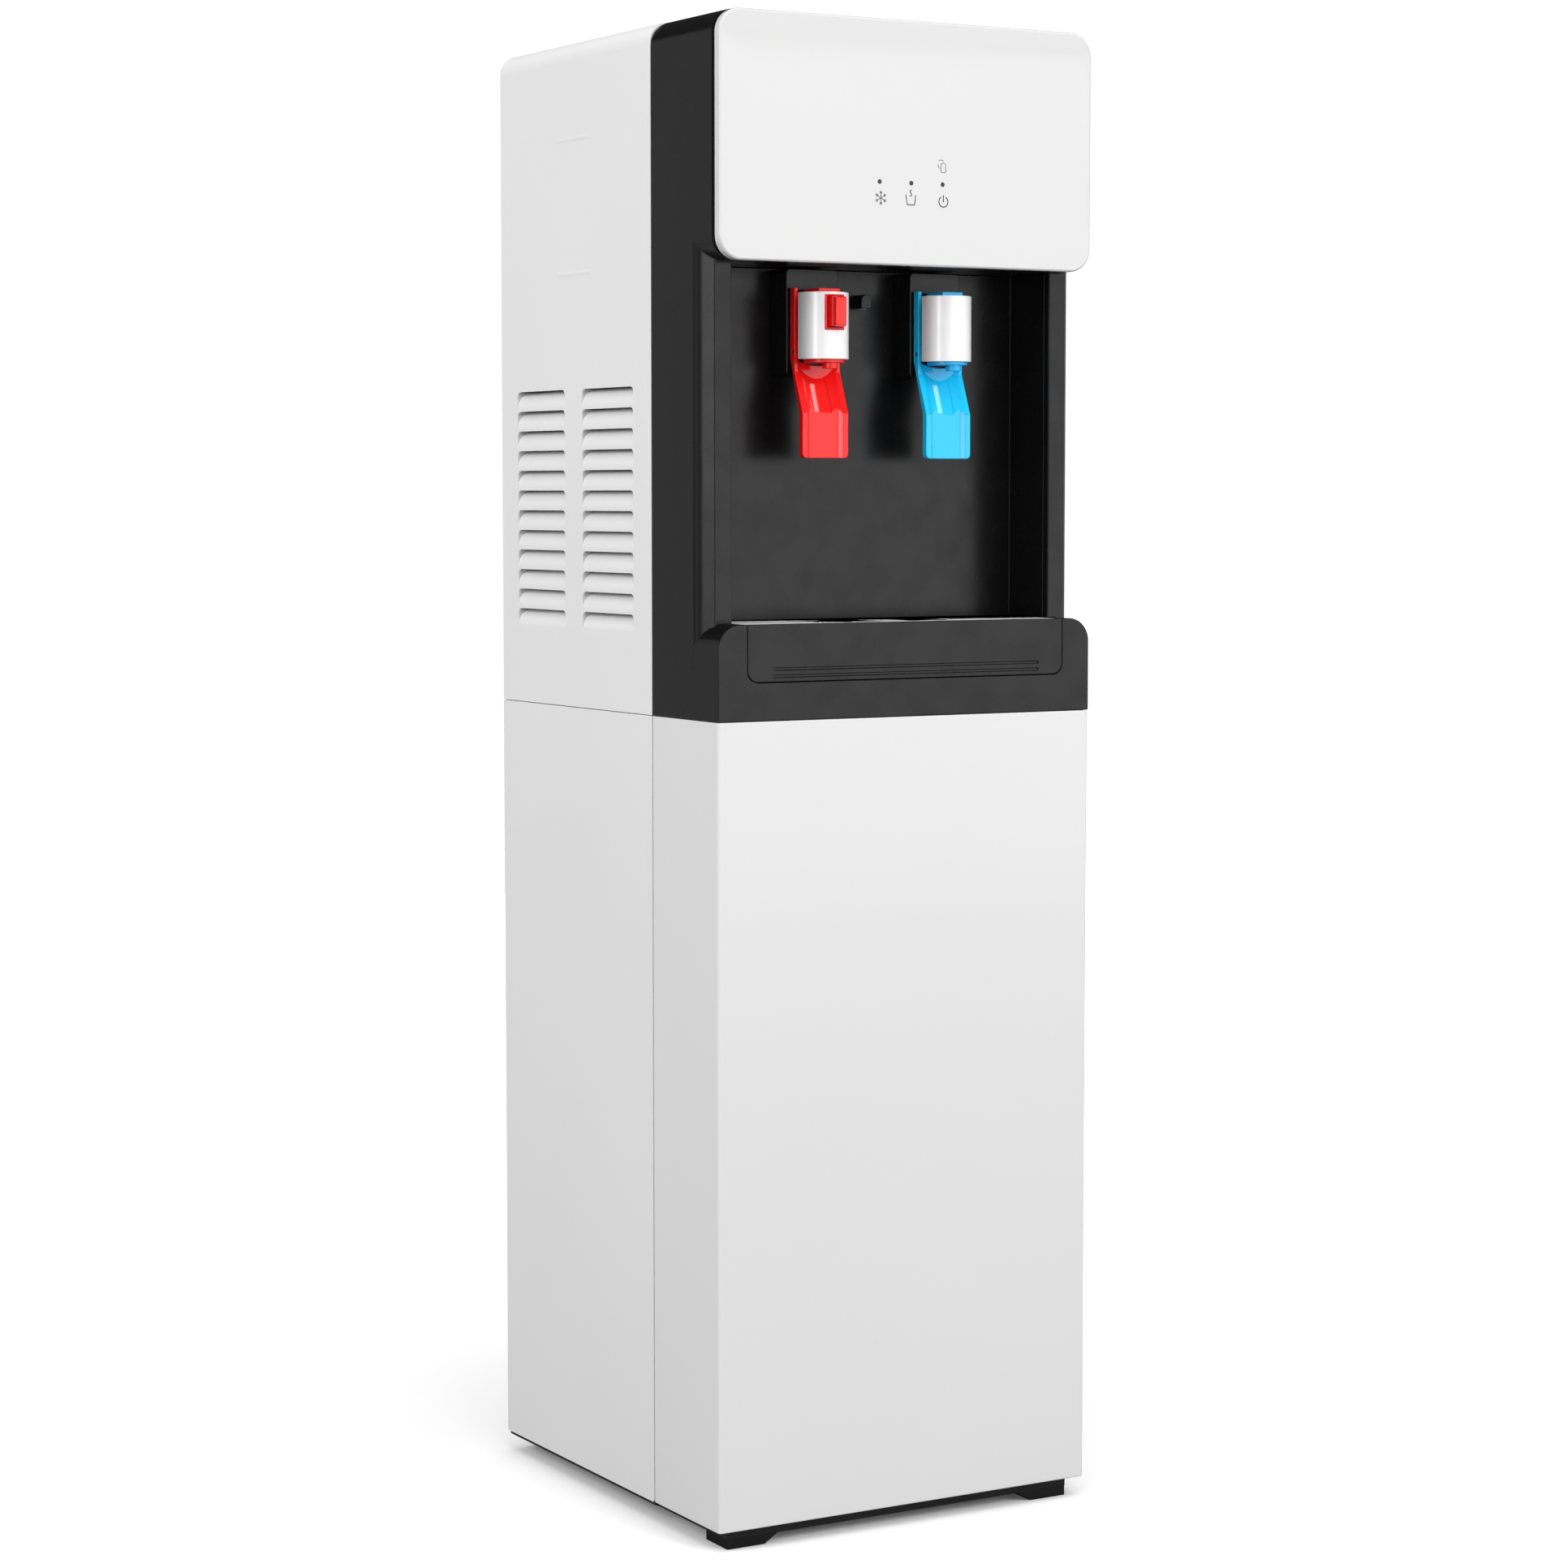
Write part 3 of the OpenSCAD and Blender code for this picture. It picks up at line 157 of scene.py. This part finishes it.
def enamel(name, color, roughness, creases=(), coat=0.15):
    """Baked enamel on sheet steel: orange peel, long shallow waves, optional press creases.

    Each crease is a height z and the stretch y0..y1 that it runs along.
    """
    material, tree_nodes, links, shader = new_material(name, color, roughness, 0.0, 0.45, coat, 0.2)
    mottle(tree_nodes, links, shader, color, 0.012, 6.0)
    peel = bump(tree_nodes, links, shader, object_noise(tree_nodes, links, 520.0, 1.0),
                0.35, 0.00006)
    wave = bump(tree_nodes, links, shader, object_noise(tree_nodes, links, 7.0, 0.0),
                0.25, 0.0006, peel)
    for z, y0, y1 in creases:
        coords = tree_nodes.new("ShaderNodeTexCoord")
        split = tree_nodes.new("ShaderNodeSeparateXYZ")
        links.new(coords.outputs["Object"], split.inputs["Vector"])
        fall = []
        for axis, centre, half in (("Z", z, CREASE_HALF), ("Y", (y0 + y1) / 2, (y1 - y0) / 2)):
            away = tree_nodes.new("ShaderNodeMath")
            away.operation = "SUBTRACT"
            away.inputs[1].default_value = centre
            links.new(split.outputs[axis], away.inputs[0])
            size = tree_nodes.new("ShaderNodeMath")
            size.operation = "ABSOLUTE"
            links.new(away.outputs[0], size.inputs[0])
            ramp = tree_nodes.new("ShaderNodeMapRange")
            ramp.interpolation_type = "SMOOTHSTEP"
            ramp.inputs["From Min"].default_value = half
            ramp.inputs["From Max"].default_value = 0.0 if axis == "Z" else half * 0.7
            links.new(size.outputs[0], ramp.inputs["Value"])
            fall.append(ramp.outputs["Result"])
        both = tree_nodes.new("ShaderNodeMath")
        both.operation = "MULTIPLY"
        links.new(fall[0], both.inputs[0])
        links.new(fall[1], both.inputs[1])
        wave = bump(tree_nodes, links, shader, both.outputs[0], 0.6, 0.0004, wave)
    return material


def metal(name, color, roughness, brush=(1.0, 1.0, 1.0), scale=900.0, depth=0.00001,
          metallic=1.0, wander=0.04, vary=0.08):
    """Metal with a brushed or drawn grain: brush stretches the noise along the grain."""
    material, tree_nodes, links, shader = new_material(name, color, roughness, metallic)
    mottle(tree_nodes, links, shader, color, wander, 60.0)
    grain = object_noise(tree_nodes, links, scale, 3.0, brush)
    links.new(spread(tree_nodes, links, grain, max(0.05, roughness - vary), roughness + vary),
              shader.inputs["Roughness"])
    bump(tree_nodes, links, shader, grain, 0.4, depth)
    return material


looks = {
    "white_panel": enamel("white_enamel", (0.80, 0.80, 0.798), 0.42,
                          creases=((0.9058, 0.015, 0.070), (0.8173, 0.015, 0.070))),
    "white_gloss": plastic("white_gloss_plastic", (0.77, 0.77, 0.768), 0.24, 700.0, 0.00001,
                           0.5, 0.35, 0.008, 5.0, 0.03),
    # The face plate's copy of the door's white gloss plastic, with a darker base colour: painted
    # shade that dims the face plate.
    "head_gloss": plastic("face_plate_gloss_painted_shade", (0.69, 0.69, 0.688), 0.22, 700.0, 0.000004,
                          0.5, 1.0, 0.006, 5.0, 0.02, 0.03),
    "rear_panel": enamel("grey_enamel", (0.66, 0.66, 0.655), 0.5),
    "deck_steel": metal("galvanised_steel", (0.62, 0.63, 0.64), 0.42, (1.0, 1.0, 1.0), 120.0,
                        0.00001, 1.0, 0.12),
    "black_plastic": plastic("black_plastic", (0.0042, 0.0042, 0.0044), 0.26, 1300.0, 0.00002,
                             0.5, 0.0, 0.08, 30.0, 0.04),
    "foot_plastic": plastic("foot_plastic", (0.006, 0.006, 0.0065), 0.5, 1300.0, 0.00005,
                            0.35, 0.0, 0.15, 30.0),
    "grille_plastic": plastic("grille_plastic", (0.72, 0.72, 0.725), 0.4, 1200.0, 0.00003,
                              0.5, 0.0, 0.03, 30.0),
    "silver": metal("silver_paint", (0.97, 0.97, 0.975), 0.38, (1.0, 1.0, 0.05), 300.0,
                    0.0000004, 0.12, 0.015, 0.02),
    "red_body": plastic("red_plastic", (0.88, 0.012, 0.012), 0.3, 900.0, 0.00001, 0.5, 0.2, 0.03),
    "blue_body": plastic("blue_plastic", (0.008, 0.46, 0.90), 0.3, 900.0, 0.00001, 0.5, 0.2, 0.03),
    "red_lever": plastic("red_lever_plastic", (0.95, 0.008, 0.008), 0.11, 900.0, 0.000002,
                         0.6, 0.0, 0.02, 14.0, 0.015),
    "blue_lever": plastic("blue_lever_plastic", (0.012, 0.58, 0.97), 0.11, 900.0, 0.000002,
                          0.6, 0.0, 0.02, 14.0, 0.015),
    "pin_steel": metal("bright_steel", (0.60, 0.60, 0.60), 0.3, (1.0, 1.0, 1.0), 700.0, 0.00001),
    "dark_plastic": plastic("dark_grey_plastic", (0.020, 0.020, 0.021), 0.45, 1100.0, 0.00005,
                            0.45, 0.0, 0.12, 30.0),
    "board": plastic("circuit_board", (0.015, 0.11, 0.035), 0.35, 500.0, 0.00002,
                     0.5, 0.3, 0.2, 160.0),
    "guide": plastic("smoked_light_guide", (0.004, 0.004, 0.004), 0.12, 500.0, 0.00001,
                     0.6, 0.4, 0.05),
    "tank_steel": metal("tank_steel", (0.66, 0.66, 0.65), 0.28, (0.05, 0.05, 1.0), 900.0, 0.00001),
    "band": metal("heater_band_steel", (0.45, 0.40, 0.33), 0.4, (1.0, 1.0, 0.1), 500.0, 0.00002),
    "sleeve": plastic("fibre_sleeve", (0.55, 0.53, 0.48), 0.9, 350.0, 0.0006,
                      0.2, 0.0, 0.12, 90.0),
    "white_plastic": plastic("white_plastic", (0.72, 0.72, 0.70), 0.4, 900.0, 0.00002,
                             0.5, 0.0, 0.02),
    "copper": metal("copper", (0.80, 0.38, 0.22), 0.3, (1.0, 1.0, 1.0), 400.0, 0.00001, 1.0, 0.12),
    "foam": plastic("foam", (0.60, 0.58, 0.52), 0.95, 260.0, 0.0008, 0.1, 0.0, 0.06, 120.0),
    "black_steel": plastic("black_enamelled_steel", (0.010, 0.010, 0.010), 0.32, 500.0, 0.00003,
                           0.5, 0.1, 0.1, 40.0),
    "rubber": plastic("rubber", (0.012, 0.012, 0.012), 0.75, 800.0, 0.00006, 0.3, 0.0, 0.15),
    "hose": plastic("translucent_hose", (0.70, 0.70, 0.66), 0.3, 600.0, 0.00001, 0.5, 0.1, 0.02),
    "filter_head": plastic("filter_head_plastic", (0.66, 0.67, 0.69), 0.4, 1000.0, 0.00003,
                           0.5, 0.0, 0.04),
    "filter_shell": plastic("filter_shell_plastic", (0.74, 0.75, 0.76), 0.3, 900.0, 0.00002,
                            0.5, 0.1, 0.02),
    "red_rocker": plastic("red_rocker_plastic", (0.62, 0.012, 0.012), 0.28, 900.0, 0.00001,
                          0.5, 0.2, 0.03),
    "green_rocker": plastic("green_rocker_plastic", (0.012, 0.30, 0.05), 0.28, 900.0, 0.00001,
                            0.5, 0.2, 0.03),
    "white_rocker": plastic("white_rocker_plastic", (0.70, 0.70, 0.68), 0.3, 900.0, 0.00001,
                            0.5, 0.2, 0.02),
    "icon_ink": plastic("icon_ink", (0.004, 0.004, 0.005), 0.4, 900.0, 0.00001,
                        0.4, 0.0, 0.1, 200.0),
}


def clear_lens():
    """Clear moulded lens of the night light."""
    material, tree_nodes, links, shader = new_material("clear_lens", (0.92, 0.94, 1.0), 0.08)
    shader.inputs["Transmission Weight"].default_value = 0.85
    mottle(tree_nodes, links, shader, (0.9, 0.92, 0.97), 0.03, 200.0)
    bump(tree_nodes, links, shader, object_noise(tree_nodes, links, 900.0, 2.0), 0.3, 0.00001)
    return material


looks["lens"] = clear_lens()
silver_shader = looks["silver"].node_tree.nodes["Principled BSDF"]
silver_shader.inputs["Coat Weight"].default_value = 0.8

node_slot = {}
for name, node in nodes.items():
    slot_name = node.material_slots[0].material.name.split(".")[0]
    node_slot[name] = slot_name
    for material_slot in node.material_slots:
        material_slot.material = looks[slot_name]

bodies = frame["record"]["behaviour"]["bodies"]
body_of = {name: body for body, members in bodies.items() for name in members}

# ---- Pieces made from the CAD shapes ----


def finish_piece(bm, name, node, slot_name=None):
    """Turns a bmesh into a smooth-shaded piece that rides with the node's body."""
    mesh = bpy.data.meshes.new(name)
    for face in bm.faces:
        face.smooth = True
    bm.to_mesh(mesh)
    bm.free()
    piece = bpy.data.objects.new(name, mesh)
    scene.collection.objects.link(piece)
    slot_name = slot_name or node_slot[node]
    mesh.materials.append(looks[slot_name])
    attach(piece, body_of[node])
    return piece


def weigh_normals(piece):
    """Large flat faces keep an even shade next to their rounded edges."""
    modifier = piece.modifiers.new("flat_faces", "WEIGHTED_NORMAL")
    modifier.mode = "FACE_AREA"
    modifier.weight = 50
    modifier.keep_sharp = True


def welded(node):
    """The node's mesh with its split vertices joined and its flat triangles merged."""
    bm = bmesh.new()
    bm.from_mesh(nodes[node].data)
    bmesh.ops.remove_doubles(bm, verts=bm.verts, dist=2e-6)
    bmesh.ops.dissolve_limit(bm, angle_limit=math.radians(0.4), use_dissolve_boundaries=False,
                             verts=bm.verts, edges=bm.edges)
    return bm


def sharp_edges(bm, angle, keep=None):
    """The edges between two faces that turn by more than the angle."""
    limit = math.radians(angle)
    found = []
    for edge in bm.edges:
        if len(edge.link_faces) == 2 and edge.calc_face_angle(0.0) > limit:
            if keep is None or keep(edge):
                found.append(edge)
    return found


def keep_within(bm, node):
    """Moves any vertex that a bevel pushed out back to the node's own box."""
    low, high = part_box(node)
    for vertex in bm.verts:
        for axis in range(3):
            vertex.co[axis] = min(high[axis], max(low[axis], vertex.co[axis]))


CRISP = 38.0
ROUNDED = 30.0
LEVER_FOLD = 14.0


def round_off(bm, edges, width, segments):
    bmesh.ops.bevel(bm, geom=edges, offset=width, offset_type="OFFSET", segments=segments,
                    profile=0.5, affect="EDGES", clamp_overlap=False)


def soften(node, width, segments=2, fold=CRISP):
    """A copy of a CAD node with its sharp edges rounded; folds above the fold angle stay crisp."""
    bm = welded(node)
    for edge in bm.edges:
        edge.smooth = len(edge.link_faces) != 2 or edge.calc_face_angle(0.0) < math.radians(fold)
    edges = sharp_edges(bm, ROUNDED)
    if edges:
        round_off(bm, edges, width, segments)
    keep_within(bm, node)
    for edge in bm.edges:
        if len(edge.link_faces) == 2 and edge.calc_face_angle(0.0) > math.radians(CRISP):
            edge.smooth = False
    piece = finish_piece(bm, node + "_piece", node)
    weigh_normals(piece)
    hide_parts(node)


# Edge radius in mm, bevel segments, fold angle
for node_name, edge_mm, steps, fold_angle in (
        ("cabinet_door", 0.7, 3, CRISP),
        ("front_housing", 0.5, 2, CRISP),
        ("alcove_liner", 0.3, 2, CRISP),
        ("drip_tray", 0.3, 2, CRISP),
        ("drip_grille", 0.3, 2, CRISP),
        ("escutcheons", 0.6, 3, CRISP),
        ("hot_tap_cover", 0.4, 2, CRISP),
        ("cold_tap_cover", 0.4, 2, CRISP),
        ("hot_tap_body", 0.3, 2, CRISP),
        ("cold_tap_body", 0.3, 2, CRISP),
        ("hot_lever", 0.5, 3, LEVER_FOLD),
        ("cold_lever", 0.5, 3, LEVER_FOLD),
        ("child_lock_button", 0.3, 2, LEVER_FOLD),
        ("night_light_hood", 0.4, 2, CRISP),
        ("feet", 0.6, 2, CRISP),
        ("switch_bezel", 0.4, 2, CRISP),
        ("hot_switch", 0.4, 2, CRISP),
        ("cold_switch", 0.4, 2, CRISP),
        ("night_light_switch", 0.4, 2, CRISP)):
    soften(node_name, edge_mm * MM, steps, fold_angle)

FLUSH = 0.0001
PLATE_STEP = 0.00015
RIM_DEPTH = 0.003
RIM_RADIUS = 0.0016
RIM_ANGLE = 40.0
GUIDE_HOLE_Z = 0.8684
GUIDE_HOLE_REACH = 0.03


def face_plate():
    """The gloss front panel, with a rounded rim and its front just behind the light guides."""
    low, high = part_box("face_plate")
    front, middle_z = low.y, (low.z + high.z) / 2
    bm = welded("face_plate")
    for vertex in bm.verts:
        if vertex.co.y < front + FLUSH:
            vertex.co.y = front + PLATE_STEP

    def near_front(edge):
        return all(v.co.y < front + RIM_DEPTH for v in edge.verts)

    def on_front_or_high(edge):
        return any(v.co.y < front + 2 * PLATE_STEP or v.co.z > middle_z for v in edge.verts)

    def at_guide_hole(edge):
        return all(abs(v.co.z - GUIDE_HOLE_Z) < 0.003 and abs(v.co.x) < GUIDE_HOLE_REACH
                   for v in edge.verts)

    rim = sharp_edges(bm, RIM_ANGLE, lambda edge: near_front(edge) and on_front_or_high(edge)
                      and not at_guide_hole(edge))
    round_off(bm, rim, RIM_RADIUS, 4)
    keep_within(bm, "face_plate")
    for edge in bm.edges:
        if len(edge.link_faces) == 2:
            edge.smooth = edge.calc_face_angle(0.0) < math.radians(CRISP)
    # The face plate wears the darker copy of the white gloss plastic: painted shade.
    piece = finish_piece(bm, "face_plate_piece", "face_plate", "head_gloss")
    weigh_normals(piece)
    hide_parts("face_plate")


face_plate()

# ---- Icons on the face plate ----

ICON_BACK = -0.15385
ICON_FRONT = -0.15393
MITRE_LIMIT = 0.4


def stroke(bm, points, width, closed=False):
    """A thin raised line through points (x, z), with mitred joints."""
    count = len(points)
    left, right = [], []
    for i, (x, z) in enumerate(points):
        before = points[(i - 1) % count] if closed or i > 0 else None
        after = points[(i + 1) % count] if closed or i < count - 1 else None
        directions = []
        if before is not None:
            directions.append(Vector((x - before[0], z - before[1])).normalized())
        if after is not None:
            directions.append(Vector((after[0] - x, after[1] - z)).normalized())
        along = sum(directions, Vector((0.0, 0.0))).normalized()
        across = Vector((-along.y, along.x))
        side = Vector((-directions[0].y, directions[0].x))
        scale = width / 2 / max(MITRE_LIMIT, abs(across.dot(side)))
        left.append((x + across.x * scale, z + across.y * scale))
        right.append((x - across.x * scale, z - across.y * scale))
    rings = []
    for y in (ICON_FRONT, ICON_BACK):
        rings.append([[bm.verts.new((x, y, z)) for x, z in side] for side in (left, right)])
    (l0, r0), (l1, r1) = rings
    for i in range(count if closed else count - 1):
        j = (i + 1) % count
        bm.faces.new((l0[i], l0[j], r0[j], r0[i]))
        bm.faces.new((l1[i], r1[i], r1[j], l1[j]))
        bm.faces.new((l0[i], l1[i], l1[j], l0[j]))
        bm.faces.new((r0[i], r0[j], r1[j], r1[i]))
    if not closed:
        for i in (0, count - 1):
            bm.faces.new((l0[i], r0[i], r1[i], l1[i]))


def arc(cx, cz, radius, start, end, steps):
    """Points along an arc, angles in degrees."""
    return [(cx + radius * math.cos(math.radians(start + (end - start) * i / steps)),
             cz + radius * math.sin(math.radians(start + (end - start) * i / steps)))
            for i in range(steps + 1)]


def icon(name, lines, width):
    """A printed symbol: lines of points (x, z) and the stroke width, all in mm."""
    bm = bmesh.new()
    for points, closed in lines:
        stroke(bm, [(x * MM, z * MM) for x, z in points], width * MM, closed)
    bmesh.ops.recalc_face_normals(bm, faces=bm.faces)
    piece = finish_piece(bm, name, "face_plate", "icon_ink")
    for polygon in piece.data.polygons:
        polygon.use_smooth = False


def snowflake_lines(cx, cz, radius):
    """Six arms with two short twigs each."""
    lines = []
    for k in range(6):
        a = math.radians(90 + 60 * k)
        tip = (cx + radius * math.cos(a), cz + radius * math.sin(a))
        lines.append(([(cx + 0.2 * math.cos(a), cz + 0.2 * math.sin(a)), tip], False))
        root = (cx + radius * 0.58 * math.cos(a), cz + radius * 0.58 * math.sin(a))
        for side in (-1, 1):
            b = a + side * math.radians(42)
            end = (root[0] + radius * 0.33 * math.cos(b), root[1] + radius * 0.33 * math.sin(b))
            lines.append(([root, end], False))
    return lines


icon("icon_cold", snowflake_lines(-22.3, 858.3, 4.65), 0.40)
icon("icon_hot", [
    ([(-3.6, 860.9), (-2.7, 855.0), (-2.2, 854.7), (2.5, 854.7), (2.9, 855.0), (3.7, 860.9)],
     False),
    ([(0.7, 864.0), (-0.3, 863.7), (-0.6, 862.9), (0.1, 862.1), (0.7, 861.4), (0.4, 860.5),
      (-0.7, 860.2)], False),
], 0.55)
icon("icon_power", [
    (arc(24.6, 857.6, 3.4, 122, 418, 20), False),
    ([(24.6, 861.8), (24.6, 857.2)], False),
], 0.62)
icon("icon_filter", [
    ([(22.7, 881.2), (23.6, 881.8), (24.3, 882.2), (25.3, 881.8), (26.2, 881.0), (26.3, 876.6),
      (25.7, 876.0), (23.3, 876.0), (22.7, 876.6)], True),
    ([(20.6, 881.2), (20.8, 879.6), (21.6, 878.4)], False),
    ([(21.0, 883.2), (21.8, 883.9), (24.0, 883.8), (24.6, 883.2)], False),
], 0.34)

# ---- Floor and light ----


def remapped(tree_nodes, links, value, from_range, to_range):
    """Maps a value smoothly from one range to another."""
    node = tree_nodes.new("ShaderNodeMapRange")
    node.interpolation_type = "SMOOTHSTEP"
    node.inputs["From Min"].default_value, node.inputs["From Max"].default_value = from_range
    node.inputs["To Min"].default_value, node.inputs["To Max"].default_value = to_range
    links.new(value, node.inputs["Value"])
    return node.outputs["Result"]


def toward(tree_nodes, links, vector, direction):
    """How far a vector points along a direction."""
    node = tree_nodes.new("ShaderNodeVectorMath")
    node.operation = "DOT_PRODUCT"
    node.inputs[1].default_value = direction
    links.new(vector, node.inputs[0])
    return node.outputs["Value"]


def combined(tree_nodes, links, operation, first, second):
    """Two values joined by a maths operation."""
    node = tree_nodes.new("ShaderNodeMath")
    node.operation = operation
    links.new(first, node.inputs[0])
    links.new(second, node.inputs[1])
    return node.outputs[0]


def chosen(tree_nodes, links, factor, if_zero, if_one):
    """One shader or the other, after a light path flag."""
    node = tree_nodes.new("ShaderNodeMixShader")
    links.new(factor, node.inputs["Fac"])
    links.new(if_zero, node.inputs[1])
    links.new(if_one, node.inputs[2])
    return node.outputs["Shader"]


FLOOR_HALF = 3.4
FLOOR_GREY = (0.26, 0.26, 0.26)
PAPER_WHITE = (0.98, 0.98, 0.98, 1.0)
# The camera also sees a glow from the floor. It is faint within the first distance of the object's
# centre and strong beyond the second: painted shade round the object and painted light farther out.
PAINTED_GLOW_DISTANCE = (0.35, 1.30)
PAINTED_GLOW = (0.05, 0.60)


def floor():
    """Pale studio floor: white paper with its real shadow, plus a glow painted dim near the object.
    """
    bm = bmesh.new()
    bmesh.ops.create_grid(bm, x_segments=8, y_segments=8, size=FLOOR_HALF)
    mesh = bpy.data.meshes.new("floor")
    bm.to_mesh(mesh)
    bm.free()
    piece = bpy.data.objects.new("floor", mesh)
    scene.collection.objects.link(piece)
    material, tree_nodes, links, shader = new_material("studio_floor", FLOOR_GREY, 0.8, 0.0, 0.1)
    mottle(tree_nodes, links, shader, FLOOR_GREY, 0.004, 3.0)
    paper = tree_nodes.new("ShaderNodeBsdfDiffuse")
    paper.inputs["Color"].default_value = PAPER_WHITE
    coords = tree_nodes.new("ShaderNodeTexCoord")
    away = tree_nodes.new("ShaderNodeVectorMath")
    away.operation = "LENGTH"
    links.new(coords.outputs["Object"], away.inputs[0])
    # Painted glow: painted shade near the object, painted light far from it.
    painted_glow = tree_nodes.new("ShaderNodeEmission")
    links.new(remapped(tree_nodes, links, away.outputs["Value"], PAINTED_GLOW_DISTANCE, PAINTED_GLOW),
              painted_glow.inputs["Strength"])
    both = tree_nodes.new("ShaderNodeAddShader")
    links.new(paper.outputs["BSDF"], both.inputs[0])
    links.new(painted_glow.outputs["Emission"], both.inputs[1])
    # The camera sees the white paper with the painted glow, and light bouncing off the floor sees
    # the plain grey.
    ray = tree_nodes.new("ShaderNodeLightPath")
    surface = chosen(tree_nodes, links, ray.outputs["Is Camera Ray"],
                     shader.outputs["BSDF"], both.outputs["Shader"])
    links.new(surface, tree_nodes["Material Output"].inputs["Surface"])
    mesh.materials.append(material)


floor()

BACKDROP = 1.05
# Soft light on the object: by height, and more of it from the front right
SKY_HEIGHT = (-0.1, 0.9)
SKY_LIGHT = (0.46, 1.10)
SKY_TILT = (0.20, -0.33, 0.0)
# What glossy faces mirror: a bright wall at the front right, cut off along a tilted upper edge
WALL_DIRECTION = (0.50, -0.86, 0.0)
WALL_SPREAD = (0.45, 0.95)
WALL_LIGHT = (0.36, 1.78)
EDGE_TILT = (0.1445, 0.0, 1.0)
EDGE_AT = (0.1950, 0.1990)
EDGE_FALL = (1.0, 0.12)
# and a small lamp high on the right
LAMP_DIRECTION = (0.705, -0.452, 0.546)
LAMP_SPREAD = (0.9930, 0.9970)
LAMP_LIGHT = (0.0, 7.0)


def studio_world():
    """White backdrop; the light it gives is soft, and glossy faces mirror a simple studio."""
    world = bpy.data.worlds.new("studio")
    scene.world = world
    world.use_nodes = True
    tree_nodes, links = world.node_tree.nodes, world.node_tree.links
    shown = tree_nodes["Background"]
    shown.inputs["Color"].default_value = (1.0, 1.0, 1.0, 1.0)
    shown.inputs["Strength"].default_value = BACKDROP
    coords = tree_nodes.new("ShaderNodeTexCoord")
    direction = coords.outputs["Generated"]
    split = tree_nodes.new("ShaderNodeSeparateXYZ")
    links.new(direction, split.inputs["Vector"])
    ramp = tree_nodes.new("ShaderNodeMapRange")
    ramp.inputs["From Min"].default_value, ramp.inputs["From Max"].default_value = SKY_HEIGHT
    ramp.inputs["To Min"].default_value, ramp.inputs["To Max"].default_value = SKY_LIGHT
    links.new(split.outputs["Z"], ramp.inputs["Value"])
    soft = combined(tree_nodes, links, "ADD", ramp.outputs["Result"],
                    toward(tree_nodes, links, direction, SKY_TILT))
    light = tree_nodes.new("ShaderNodeBackground")
    links.new(soft, light.inputs["Strength"])
    wall = remapped(tree_nodes, links, toward(tree_nodes, links, direction, WALL_DIRECTION),
                    WALL_SPREAD, WALL_LIGHT)
    edge = remapped(tree_nodes, links, toward(tree_nodes, links, direction, EDGE_TILT),
                    EDGE_AT, EDGE_FALL)
    lamp = remapped(tree_nodes, links, toward(tree_nodes, links, direction, LAMP_DIRECTION),
                    LAMP_SPREAD, LAMP_LIGHT)
    cut_wall = combined(tree_nodes, links, "MULTIPLY", wall, edge)
    mirrored = combined(tree_nodes, links, "ADD", cut_wall, lamp)
    gloss = tree_nodes.new("ShaderNodeBackground")
    links.new(mirrored, gloss.inputs["Strength"])
    ray = tree_nodes.new("ShaderNodeLightPath")
    unseen = chosen(tree_nodes, links, ray.outputs["Is Glossy Ray"],
                    light.outputs["Background"], gloss.outputs["Background"])
    surface = chosen(tree_nodes, links, ray.outputs["Is Camera Ray"],
                     unseen, shown.outputs["Background"])
    links.new(surface, tree_nodes["World Output"].inputs["Surface"])


studio_world()


def softbox(name, place, target, size, power, mirrored=False):
    """A rectangular area lamp; glossy faces show it only if it is mirrored."""
    light = bpy.data.lights.new(name, "AREA")
    light.shape = "RECTANGLE"
    light.size, light.size_y = size
    light.energy = power
    lamp = bpy.data.objects.new(name, light)
    lamp.location = place
    lamp.rotation_euler = (Vector(target) - Vector(place)).to_track_quat("-Z", "Y").to_euler()
    lamp.visible_glossy = mirrored
    scene.collection.objects.link(lamp)


MIDDLE = (0.0, 0.0, 0.6)
LEFT_SIDE = (-0.14, 0.0, 0.6)
FRONT_LEFT_EDGE = (-0.14, -0.1, 0.8)

softbox("top_light", (-0.2, -0.9, 2.8), MIDDLE, (2.0, 2.0), 17.0)
softbox("front_light", (0.9, -2.5, 1.6), MIDDLE, (1.4, 1.6), 33.0)
softbox("left_light", (-2.6, 0.25, 1.7), LEFT_SIDE, (1.6, 1.6), 36.0)
softbox("edge_light", (-3.0, -1.7, 1.2), FRONT_LEFT_EDGE, (0.9, 1.6), 15.0, True)
